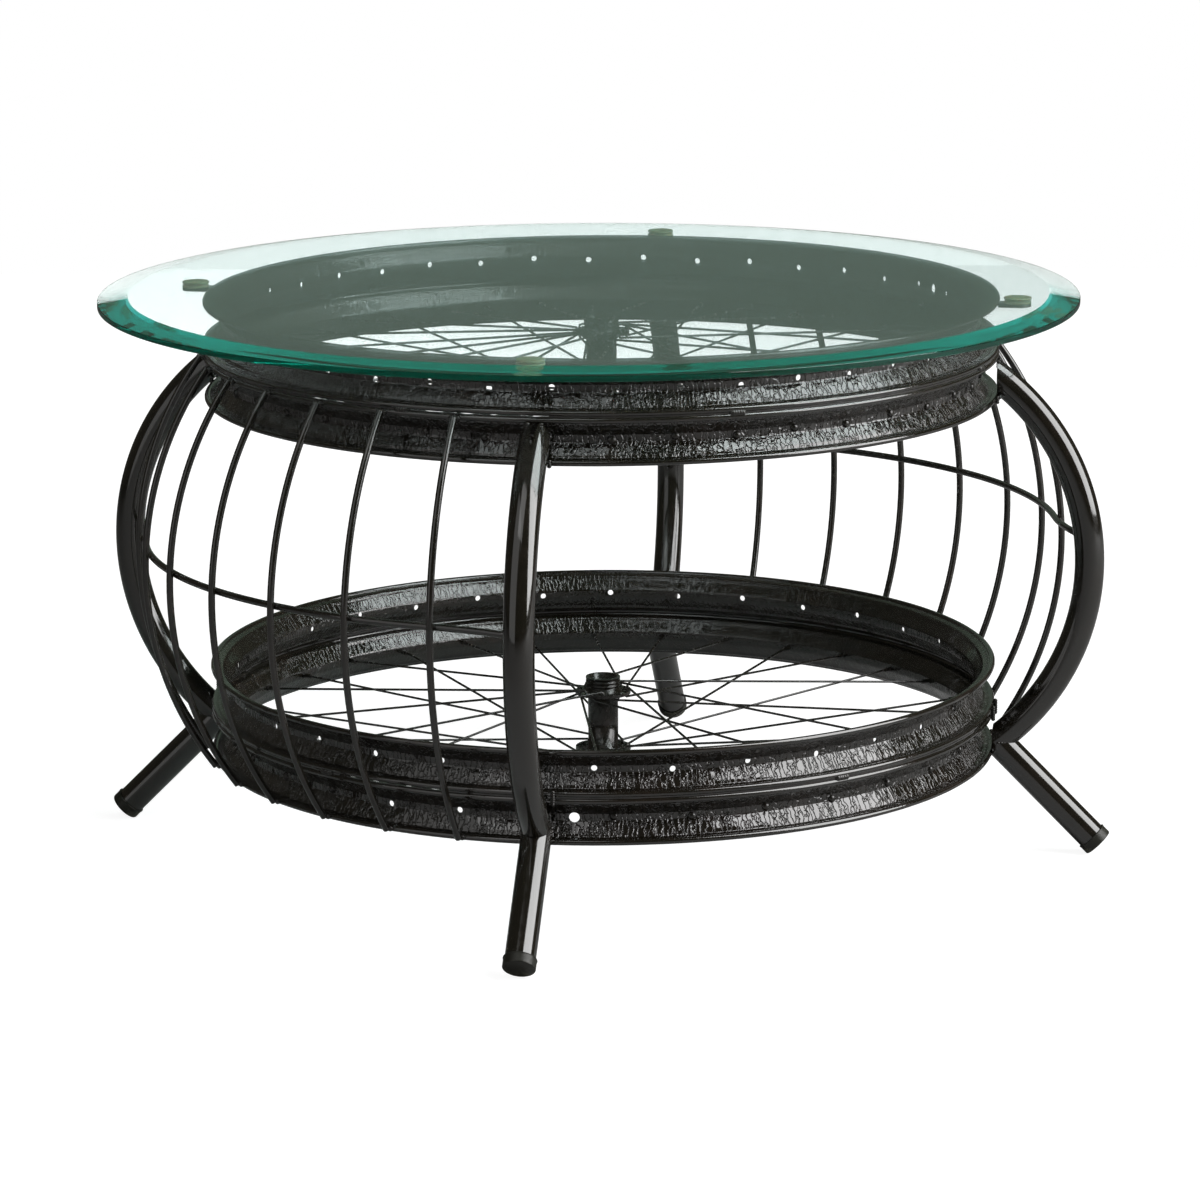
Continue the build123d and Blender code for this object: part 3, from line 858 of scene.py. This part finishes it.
def well_radius():
    """Radius of the outer face of the rims' wells."""
    sizes = settings().sizes
    return LIP - sizes.rim_depth + sizes.rim_wall


class RIMTABLE_OT_rims(bpy.types.Operator):
    """Build the four painted rims with their drilled wells"""

    bl_idname = "rimtable.rims"
    bl_label = "Rims"

    def execute(self, context):
        for seed, (name, (holes, phase, valve)) in enumerate(RIMS.items()):
            middle = middle_of(f"{name}_rim")
            steel = turned(f"{name}_steel", rim_outline(middle), 900)
            inputs = {
                "Copies": holes, "First azimuth": phase, "Step": 360.0 / holes,
                "Stagger": HOLE_STAGGER, "Middle": middle, "Well radius": well_radius(),
                "Lip": LIP, "Drill depth": 6 * settings().sizes.rim_wall,
                "Hole diameter": 0.0048, "Valve azimuth": valve, "Valve diameter": 0.0083,
                "Lump size": 0.0075, "Lump height": 0.0009, "Seed": 1.0 + seed,
            }
            piece, finish = f"{name}_painted_rim", paint("rim_paint")
            grown(piece, painted_rim, steel, inputs, finish, 50.0, f"{name}_rim")
        return {"FINISHED"}


# --- hubs, spokes and nipples
WHEELS = {
    "bottom": (32, 10.4, 3, (21, 22)),
    "top": (40, 1.35, 4, (-1, -1)),
}  # holes, first hole's azimuth, crossings ahead, first and last open hole
FLANGE_OFFSET = 0.024
FLANGE_HALF = 0.0012
PITCH_RADIUS = 0.02
HEAD_HEIGHT = 0.001


class RIMTABLE_OT_hubs(bpy.types.Operator):
    """Build the two bare hub shells"""

    bl_idname = "rimtable.hubs"
    bl_label = "Hubs"

    def execute(self, context):
        for name in WHEELS:
            smooth_copy(f"{name}_hub_shell", f"{name}_hub", paint("hub_paint"))
        return {"FINISHED"}


class RIMTABLE_OT_spokes(bpy.types.Operator):
    """Lace both wheels with bent, headed spokes"""

    bl_idname = "rimtable.spokes"
    bl_label = "Spokes"

    def execute(self, context):
        for name in WHEELS:
            for side, label in ((1, "upper"), (-1, "lower")):
                meshes = [self.wires(name, side, leading) for leading in (True, False)]
                meshes.append(self.heads(name, side))
                spokes = shade(joined(f"{name}_{label}_spokes", meshes), 50.0)
                finish_piece(spokes, paint("spoke_paint"), f"{name}_spokes_{label}")
        return {"FINISHED"}

    def wires(self, name, side, leading):
        """Leading or trailing spokes of one flange."""
        holes, phase, lead, open_holes = WHEELS[name]
        middle = middle_of(f"{name}_lower_rim")
        pitch = 360.0 / holes
        first = (0 if side > 0 else 1) + (0 if leading else 2)
        outward = -side if leading else side
        reach = 0.003 if leading else 0.004
        turn = (-2 if leading else 2) * lead * pitch
        height = middle + side * FLANGE_OFFSET
        path = [
            polar(PITCH_RADIUS, turn, height - outward * (FLANGE_HALF + HEAD_HEIGHT)),
            polar(PITCH_RADIUS, turn, height + outward * reach),
            polar(well_radius() - 0.0098, 0.0, middle + side * HOLE_STAGGER),
        ]
        base = object_from("spoke_path", path, edges=[(0, 1), (1, 2)])
        bare = [hole - first for hole in open_holes if hole >= 0 and (hole - first) % 4 == 0]
        missing = bare[0] // 4 if bare else -1
        inputs = {
            "Copies": holes // 4, "First azimuth": phase + first * pitch, "Step": 4 * pitch,
            "Missing from": missing, "Missing to": missing, "Bend radius": 0.002, "Sides": 10,
            "Wire diameter": settings().sizes.spoke_diameter, "Finish": paint("spoke_paint"),
        }
        return run_tree(wire_ring, base, inputs)

    def heads(self, name, side):
        """Spoke heads on both faces of one flange."""
        holes, phase, *_ = WHEELS[name]
        pitch = 360.0 / holes
        radius, half = 0.0018, HEAD_HEIGHT / 2
        outline = [(0.0, -half), (radius * 0.8, -half), (radius, 0.0)]
        outline += [(radius * 0.8, half), (0.0, half)]
        height = middle_of(f"{name}_lower_rim") + side * FLANGE_OFFSET
        place = Matrix.Translation((PITCH_RADIUS, 0.0, height))
        base = turned("spoke_head", outline, 12, place)
        inputs = {
            "Copies": holes // 2, "First azimuth": phase + (0 if side > 0 else 1) * pitch,
            "Step": 2 * pitch, "Stagger": side * (FLANGE_HALF + half),
            "Finish": paint("spoke_paint"),
        }
        return run_tree(part_ring, base, inputs)


class RIMTABLE_OT_nipples(bpy.types.Operator):
    """Set a domed nipple in every laced hole"""

    bl_idname = "rimtable.nipples"
    bl_label = "Nipples"

    def execute(self, context):
        radius, height, shank, reach = 0.0035, 0.0022, 0.002, 0.0095
        outline = [(0.0, -reach), (shank, -reach), (shank, -0.0004), (radius, -0.0002)]
        outline += [(radius * cos(radians(a)), height * sin(radians(a))) for a in (22, 45, 67)]
        outline += [(0.0, height)]
        lying = Matrix.Rotation(pi / 2, 4, "Y")
        for name, (holes, phase, _, (first, last)) in WHEELS.items():
            centre = (well_radius(), 0.0, middle_of(f"{name}_lower_rim"))
            base = turned("nipple", outline, 16, Matrix.Translation(centre) @ lying)
            inputs = {
                "Copies": holes, "First azimuth": phase, "Step": 360.0 / holes,
                "Stagger": HOLE_STAGGER, "Missing from": first, "Missing to": last,
            }
            piece, finish = f"{name}_spoke_nipples", paint("hub_paint")
            grown(piece, part_ring, base, inputs, finish, 60.0, f"{name}_nipples")
        return {"FINISHED"}


# --- bows, feet and caps
KNEE = (0.328, bow_low.z)
BOW_WAIST = (bow_high.x - (bow_high.y - bow_low.y) / 2, (bow_low.z + bow_high.z) / 2 - 0.0025)
BOW_TOP = (0.305, bow_high.z)
FOOT_SLOPE = radians(45.0)
RIM_CLEARANCE = 0.00005


def rims_drum():
    """Drum over the whole stack of rims, for coping the tubes that are welded to it."""
    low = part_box("bottom_lower_rim")[0].z - RIM_CLEARANCE
    radius = LIP + RIM_CLEARANCE
    outline = [(0.0, low), (radius, low), (radius, rim_high.z), (0.0, rim_high.z)]
    return turned("drum", outline, 720)


def block(name, low, high):
    """Cutting block over the legs' plane between two heights."""
    corners = [(x, y, z) for z in (low, high) for y in (-0.05, 0.05) for x in (0.2, 0.45)]
    faces = [(0, 2, 3, 1), (4, 5, 7, 6), (0, 1, 5, 4), (2, 6, 7, 3), (0, 4, 6, 2), (1, 3, 7, 5)]
    return object_from(name, corners, faces)


class RIMTABLE_OT_bow_tubes(bpy.types.Operator):
    """Build the four bow tubes, coped to the rims and notched at the top"""

    bl_idname = "rimtable.bow_tubes"
    bl_label = "Bow Tubes"

    def execute(self, context):
        radius = settings().sizes.tube_diameter / 2
        path = upright_arc(KNEE, BOW_WAIST, BOW_TOP, 72, 0.03)
        outer = tube_along("bow_outer", path, radius, 48)
        bore = tube_along("bow_bore", path, radius - TUBE_WALL, 32)
        top = BOW_TOP[1]
        half, depth = 0.003, 0.016
        corners = [
            (x, y, z)
            for x in (LIP - 0.02, LIP + 0.03)
            for y, z in ((-half, top + 0.001), (half, top + 0.001), (0.0, top - depth))
        ]
        faces = [(0, 1, 2), (3, 5, 4), (0, 3, 4, 1), (1, 4, 5, 2), (2, 5, 3, 0)]
        notch = object_from("bow_notch", corners, faces)
        above = block("above", top, top + 0.1)
        below = block("below", KNEE[1] - 0.1, KNEE[1])
        pattern = cut_away(outer, bore, rims_drum(), notch, above, below)
        on_legs(pattern, "painted_bow", "bow_tube", 40.0, paint("tube_paint"))
        return {"FINISHED"}


def foot_line():
    """Cap centre and unit direction down the foot tube, as (radius, height)."""
    direction = Vector((cos(FOOT_SLOPE), -sin(FOOT_SLOPE)))
    height = (cap_high.y - cap_low.y) / 2 * cos(FOOT_SLOPE) - 0.0005
    return Vector(KNEE) + direction * ((KNEE[1] - height) / sin(FOOT_SLOPE)), direction


class RIMTABLE_OT_foot_tubes(bpy.types.Operator):
    """Build the four raked foot tubes"""

    bl_idname = "rimtable.foot_tubes"
    bl_label = "Foot Tubes"

    def execute(self, context):
        radius = settings().sizes.tube_diameter / 2
        cap_floor, run, steps = 0.0031, 0.2, 24
        end, direction = foot_line()
        end = end - direction * cap_floor
        start = end - direction * run
        path = [tuple(start.lerp(end, i / steps)) for i in range(steps + 1)]
        outer = tube_along("foot_outer", path, radius, 48)
        bore = tube_along("foot_bore", path, radius - TUBE_WALL, 32)
        above = block("above", KNEE[1] - RIM_CLEARANCE, KNEE[1] + 0.2)
        pattern = cut_away(outer, bore, rims_drum(), above)
        on_legs(pattern, "painted_foot", "foot_tube", 40.0, paint("tube_paint"))
        return {"FINISHED"}


class RIMTABLE_OT_foot_caps(bpy.types.Operator):
    """Build the four plastic caps, rounded and worn flat on the floor"""

    bl_idname = "rimtable.foot_caps"
    bl_label = "Foot Caps"

    def execute(self, context):
        radius = (cap_high.y - cap_low.y) / 2
        bore = settings().sizes.tube_diameter / 2 + 0.0001
        depth, floor, lip, soft = 0.0085, 0.003, 0.0008, 0.0009
        body = radius - lip / 2
        outline = [(0.0, 0.0), (body - soft, 0.0)]
        outline += arc_points((body - soft, soft), soft, -60.0, 60.0, 3)
        outline += [(body, depth - 1.6 * lip)]
        outline += arc_points((body, depth - lip / 2), lip / 2, -80.0, 160.0, 6)
        outline += [(bore, depth), (bore, floor), (0.0, floor)]
        centre, direction = foot_line()
        axis = Vector((-direction.x, 0.0, -direction.y))
        turn = UP.rotation_difference(axis).to_matrix().to_4x4()
        place = Matrix.Translation((centre.x, 0.0, centre.y)) @ turn
        pattern = turned("cap_pattern", outline, 64, place)
        for vertex in pattern.data.vertices:
            vertex.co.z = max(vertex.co.z, 0.0)
        on_legs(pattern, "plastic_cap", "foot_cap", 45.0, cap_material(), "cap_plastic")
        return {"FINISHED"}


# --- cage
ROD_COUNT = 7
ROD_PITCH = 11.0
ROD_SEAT = 0.3277
ROD_WAIST = 0.3815


class RIMTABLE_OT_cage(bpy.types.Operator):
    """Build the curved rods and hoops that close two quarters"""

    bl_idname = "rimtable.cage"
    bl_label = "Cage Rods and Hoops"

    def execute(self, context):
        low, high = rod_low.z + 0.0016, rod_high.z - 0.0016
        path = upright_arc((ROD_SEAT, low), (ROD_WAIST, (low + high) / 2), (ROD_SEAT, high), 40)
        points = [(r, 0.0, z) for r, z in path]
        edges = [(i, i + 1) for i in range(len(points) - 1)]
        for quarter, (start, way) in QUARTERS.items():
            base = object_from("rod_path", points, edges=edges)
            step = way * ROD_PITCH
            inputs = {
                "Copies": ROD_COUNT, "First azimuth": start + step, "Step": step,
                "Wire diameter": settings().sizes.rod_diameter, "Bend radius": 0.0, "Sides": 20,
            }
            nodes = [f"cage_rod_{quarter}_{place}" for place in range(1, ROD_COUNT + 1)]
            grown(f"{quarter}_cage_rods", wire_ring, base, inputs, paint("rod_paint"), 50.0, *nodes)
            smooth_copy(f"{quarter}_cage_hoop", f"hoop_{quarter}", paint("rod_paint"))
        return {"FINISHED"}


# --- welds
def ripple_row(centre, along, outward, size, count=1, run=0.0):
    """Ripples of one short bead: (place, turn, size) for each."""
    along, side = along.normalized(), outward.normalized()
    turn = Matrix((side, along, along.cross(side).normalized())).transposed().to_euler()
    shifts = [0.0] if count == 1 else [(i / (count - 1) - 0.5) * run for i in range(count)]
    return [(centre + along * shift, tuple(turn), size) for shift in shifts]


def blob(radius, azimuth, height, size, count, run):
    """Ripples of a bead that runs round the axis."""
    centre = polar(radius, azimuth, height)
    return ripple_row(centre, polar(1.0, azimuth + 90), polar(1.0, azimuth), size, count, run)


def weld_piece(name, points, lump_height, *nodes):
    """Turn listed ripples into one painted piece."""
    base = object_from("weld_points", [p[0] for p in points])
    for label, place in (("turn", 1), ("size", 2)):
        attribute = base.data.attributes.new(label, "FLOAT_VECTOR", "POINT")
        for item, point in zip(attribute.data, points):
            item.vector = point[place]
    inputs = {**LUMPS, "Lump height": lump_height}
    grown(name, weld_ripples, base, inputs, paint("hub_paint"), 70.0, *nodes)


class RIMTABLE_OT_welds(bpy.types.Operator):
    """Lay the weld beads between rims, tubes and rods"""

    bl_idname = "rimtable.welds"
    bl_label = "Welds"

    def execute(self, context):
        self.spacers("bottom", (-123.0, -46.0, 10.0, 60.0, 112.0, 170.0))
        self.spacers("top", (-164.0, -109.0, -62.5, -12.0, 40.0, 88.0, 137.0))
        self.seam("bottom", ((-119.0, -103.0),))
        self.seam("top", ((-126.0, -118.5), (-110.0, -88.0)))
        self.rod_ends()
        self.leg_welds()
        return {"FINISHED"}

    def spacers(self, pair, azimuths):
        """Blobs that hold two rims apart."""
        spacers = f"{pair}_spacer_welds"
        bead = LIP - settings().sizes.lip_radius
        size = (0.0032, 0.0028, 0.003)
        points = []
        for azimuth in azimuths:
            points += blob(bead, azimuth, middle_of(spacers), size, 5, 0.008)
        weld_piece(f"{pair}_rim_welds", points, 0.0007, spacers)

    def seam(self, pair, slits):
        """Paint that fills the seam between two rims, sunk here and there into thin slits."""
        low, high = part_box(f"{pair}_spacer_welds")
        bead = LIP - settings().sizes.lip_radius
        half_height = (high.z - low.z) / 2 + 0.0004
        half_width, slit_top, slit_depth = 0.0009, 0.0003, 0.00022
        middle = (low.z + high.z) / 2
        bottom = middle - half_height
        steps = 960
        vertices, faces = [], []
        for i in range(steps):
            azimuth = 360.0 * i / steps - 180.0
            swell = 0.0001 * (sin(radians(azimuth * 41.0)) + sin(radians(azimuth * 97.0)))
            top = middle + half_height
            if any(start < azimuth < end for start, end in slits):
                sunk = 0.8 + sin(radians(azimuth * 75.0)) + 0.5 * sin(radians(azimuth * 191.0))
                top = middle + slit_top - slit_depth * max(0.0, sunk)
            outer, inner = bead + half_width + swell, bead - half_width
            for radius, height in ((outer, bottom), (outer, top), (inner, top), (inner, bottom)):
                vertices.append(polar(radius, azimuth, height))
            here, after = 4 * i, 4 * ((i + 1) % steps)
            for a, b in ((0, 1), (1, 2), (2, 3), (3, 0)):
                faces.append((here + a, after + a, after + b, here + b))
        seam = shade(object_from(f"{pair}_paint_seam", vertices, faces), 30.0)
        finish_piece(seam, paint("rim_paint"))

    def rod_ends(self):
        """Small blobs where rods meet the lips."""
        size = (0.0022, 0.0024, 0.0024)
        points = []
        for start, way in QUARTERS.values():
            for place in range(1, ROD_COUNT + 1):
                azimuth = start + way * place * ROD_PITCH
                out, across = polar(1.0, azimuth), polar(1.0, azimuth + 90)
                for height in (rod_low.z + 0.002, rod_high.z - 0.002):
                    for aside in (-0.42, 0.42):
                        centre = polar(LIP + 0.0006, azimuth + aside, height)
                        points += ripple_row(centre, across, out, size)
        weld_piece("rod_end_welds", points, 0.0006)

    def leg_welds(self):
        """Beads where bows and feet meet each other and the rims."""
        radius = settings().sizes.tube_diameter / 2
        bead = settings().sizes.lip_radius
        top_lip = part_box("top_lower_rim")[0].z + bead
        pair_lips = (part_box("bottom_lower_rim")[1].z - bead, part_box("bottom_upper_rim")[0].z + bead)
        seats = [
            (BOW_TOP[1] - 0.002, 0.0006, 0.0052, 0.0016),
            (top_lip, 0.0006, 0.0112, 0.0016),
            *((height, 0.0008, radius, 0.0018) for height in pair_lips),
        ]  # height, way out of the lip, half width of the tube's seat, width of the ripples
        points = []
        for azimuth in LEGS.values():
            out, across = polar(1.0, azimuth), polar(1.0, azimuth + 90)
            for i in range(15):
                angle = radians(-80 + 160 * i / 14)
                centre = out * (KNEE[0] + radius * cos(angle) * 1.05)
                centre += across * (radius * sin(angle)) + UP * KNEE[1]
                along = across * cos(angle) - out * sin(angle)
                points += ripple_row(centre, along, out, (0.0016, 0.0014, 0.0013))
            for height, proud, half, width in seats:
                for side in (-1, 1):
                    centre = out * (LIP + proud) + across * (side * half) + UP * height
                    points += ripple_row(centre, UP, out, (0.0018, width, 0.0018), 3, 0.004)
        weld_piece("leg_welds", points, 0.0005)


# --- stage
LAMPS = {
    "key_softbox": ((3.0, -0.4, 2.2), (0.0, 0.0, 0.25), 2.8, 4.3),
    "front_softbox": ((-0.36, -1.64, 2.1), (-0.05, -0.42, 0.3), 1.3, 1.0),
    "left_panel": ((-1.29, -1.94, 1.2), (-0.05, -0.42, 0.5), 1.9, 2.4),
}  # place, what it points at, width, height
CAMERA_PLACE = (0.5870, -3.7145, 1.0486)
CAMERA_AZIMUTH, CAMERA_PITCH, CAMERA_ROLL = 99.013, 0.2215, -0.005


def sight_light(tree):
    """A mask of straight sight, the light seen through the pane, and a mask of that sight."""
    look = settings().studio
    path = node(tree, "LightPath").outputs
    glossy = path["Glossy Depth"]
    undimmed = maths(tree, "LESS_THAN", path["Diffuse Depth"], 0.5)
    sent = product(tree, path["Is Transmission Ray"], undimmed)
    across = product(tree, sent, maths(tree, "LESS_THAN", glossy, 0.5))
    few = maths(tree, "LESS_THAN", path["Transmission Depth"], 2.5)
    along = product(tree, sent, few, maths(tree, "GREATER_THAN", glossy, 1.5))
    inside = product(tree, along, look.along_glass)
    light = maths(tree, "MULTIPLY_ADD", across, look.behind_glass, inside)
    return path["Is Camera Ray"], light, maths(tree, "ADD", across, along)


def stage_face(name, corners, material):
    """One big face of the stage."""
    face = object_from(name, corners, [(0, 1, 2, 3)])
    face.data.materials.append(material)


class RIMTABLE_OT_stage(bpy.types.Operator):
    """Set the floor, lamps, surroundings and camera"""

    bl_idname = "rimtable.stage"
    bl_label = "Stage"

    def execute(self, context):
        look = settings().studio
        self.floor(look)
        self.backdrop(look)
        for name, power in zip(LAMPS, (look.key_power, look.front_power, look.left_power)):
            self.lamp(name, power)
        self.surroundings(look)
        self.camera()
        return {"FINISHED"}

    def floor(self, look):
        """Pale floor that shows white and keeps the table's shadow; its colour holds a painted pool of
        light under the table.
        """
        reach = 12.0
        material, tree, shader, output = new_material("studio_floor")
        where = object_place(tree)
        # Painted pool of light: the floor's colour is lighter round the table and darker beyond, and
        # the camera's white glow is raised beyond it to hide the change
        from_painted_pool = vector(tree, "DISTANCE", where, (0.0, 0.15, 0.0))
        outside_painted_pool = mapped(tree, from_painted_pool, 0.75, 1.25, smooth=True)
        feed(tree, shader, {
            "Base Color": blend_colour(tree, outside_painted_pool, look.floor, look.far_floor),
            "Roughness": 0.9,
            "Specular IOR Level": 0.1,
        })
        seen, light, through = sight_light(tree)
        white = product(tree, seen, maths(tree, "MULTIPLY_ADD", outside_painted_pool, 0.12, 0.9))
        glow = node(tree, "Emission", {"Strength": white})
        lit = node(tree, "AddShader", {0: shader, 1: glow})
        across = node(tree, "SeparateXYZ", {0: where}).outputs["X"]
        falloff = mapped(tree, across, -0.95, 0.1, 1.22, 0.88)
        pane = node(tree, "Emission", {"Strength": product(tree, light, falloff)})
        share = product(tree, through, 0.95)
        both = mix(tree, share, lit, pane)
        feed(tree, output, {"Surface": both})
        signs = ((-1, -1), (1, -1), (1, 1), (-1, 1))
        stage_face("studio_floor", [(x * reach, y * reach, 0.0) for x, y in signs], material)

    def backdrop(self, look):
        """Pale backdrop behind the table, white to the eye and dim in the glass."""
        away, side = polar(3.0, 99.0), polar(1.05, 9.0)
        low, high = UP * 0.02, UP * 2.6
        material, tree, shader, output = new_material("studio_backdrop")
        tree.nodes.remove(shader)
        seen, light, _ = sight_light(tree)
        shine = maths(tree, "MAXIMUM", seen, light)
        dim = node(tree, "Emission", {"Color": (*look.backdrop, 1.0), "Strength": 1.0})
        white = node(tree, "Emission", {"Strength": shine})
        shown = maths(tree, "GREATER_THAN", shine, 0.5)
        both = mix(tree, shown, dim, white)
        feed(tree, output, {"Surface": both})
        corners = [away - side + low, away + side + low, away + side + high, away - side + high]
        stage_face("studio_backdrop", corners, material)

    def lamp(self, name, power):
        """One softbox."""
        place, aim, width, height = LAMPS[name]
        light = bpy.data.lights.new(name, "AREA")
        light.shape = "RECTANGLE"
        light.size, light.size_y = width, height
        light.energy = power
        holder = bpy.data.objects.new(name, light)
        holder.location = place
        holder.rotation_euler = (Vector(place) - Vector(aim)).to_track_quat("Z", "Y").to_euler()
        bpy.context.scene.collection.objects.link(holder)

    def surroundings(self, look):
        """White backdrop for the camera, a dim room for reflections."""
        world = bpy.data.worlds.new("studio")
        bpy.context.scene.world = world
        world.use_nodes = True
        tree = world.node_tree
        tree.nodes.clear()
        seen, light, through = sight_light(tree)
        room = node(tree, "Background", {"Color": (*look.room, 1.0), "Strength": 1.0})
        pane = node(tree, "Background", {"Strength": light})
        plain = node(tree, "Background", {"Strength": 1.0})
        unseen = mix(tree, through, room, pane)
        both = mix(tree, seen, unseen, plain)
        node(tree, "OutputWorld", {"Surface": both})

    def camera(self):
        """Long lens, a little above the glass and right of the front leg."""
        lens = bpy.data.cameras.new("studio_camera")
        lens.lens = 139.39
        lens.sensor_width = 36.0
        lens.clip_end = 60.0
        camera = bpy.data.objects.new("studio_camera", lens)
        camera.matrix_world = (
            Matrix.Translation(CAMERA_PLACE)
            @ Matrix.Rotation(radians(CAMERA_AZIMUTH - 90.0), 4, "Z")
            @ Matrix.Rotation(pi / 2 - CAMERA_PITCH, 4, "X")
            @ Matrix.Rotation(CAMERA_ROLL, 4, "Z")
        )
        bpy.context.scene.collection.objects.link(camera)
        bpy.context.scene.camera = camera


# --- add-on
BUILDERS = (
    RIMTABLE_OT_stage,
    RIMTABLE_OT_glass_top,
    RIMTABLE_OT_pads,
    RIMTABLE_OT_rims,
    RIMTABLE_OT_hubs,
    RIMTABLE_OT_spokes,
    RIMTABLE_OT_nipples,
    RIMTABLE_OT_bow_tubes,
    RIMTABLE_OT_foot_tubes,
    RIMTABLE_OT_foot_caps,
    RIMTABLE_OT_cage,
    RIMTABLE_OT_welds,
)


class RIMTABLE_PT_builders(bpy.types.Panel):
    """Sidebar panel that lists the builders"""

    bl_idname = "RIMTABLE_PT_builders"
    bl_label = "Rim Coffee Table"
    bl_space_type = "VIEW_3D"
    bl_region_type = "UI"
    bl_category = "Rim Table"

    def draw(self, context):
        for builder in BUILDERS:
            self.layout.operator(builder.bl_idname)
        table = context.scene.rim_table
        for group in (table.sizes, table.paint, table.glass, table.studio):
            for name in group.__annotations__:
                self.layout.prop(group, name)


CLASSES = (
    TableSizes, PaintLook, GlassLook, StudioLook, RimTableSettings, *BUILDERS, RIMTABLE_PT_builders,
)


def register():
    """Register the classes and hang the settings on the scene."""
    for cls in CLASSES:
        bpy.utils.register_class(cls)
    bpy.types.Scene.rim_table = PointerProperty(type=RimTableSettings)


def unregister():
    """Take the settings off the scene and unregister the classes."""
    del bpy.types.Scene.rim_table
    for cls in reversed(CLASSES):
        bpy.utils.unregister_class(cls)


def main():
    """Build the table and its stage."""
    register()
    scene = bpy.context.scene
    scene.view_settings.view_transform = "Standard"
    scene.cycles.max_bounces = 128
    scene.cycles.glossy_bounces = 120
    scene.cycles.transmission_bounces = 24
    bpy.ops.rimtable.stage()
    bpy.ops.rimtable.glass_top()
    bpy.ops.rimtable.pads()
    bpy.ops.rimtable.rims()
    bpy.ops.rimtable.hubs()
    bpy.ops.rimtable.spokes()
    bpy.ops.rimtable.nipples()
    bpy.ops.rimtable.bow_tubes()
    bpy.ops.rimtable.foot_tubes()
    bpy.ops.rimtable.foot_caps()
    bpy.ops.rimtable.cage()
    bpy.ops.rimtable.welds()


if __name__ == "__main__":
    main()
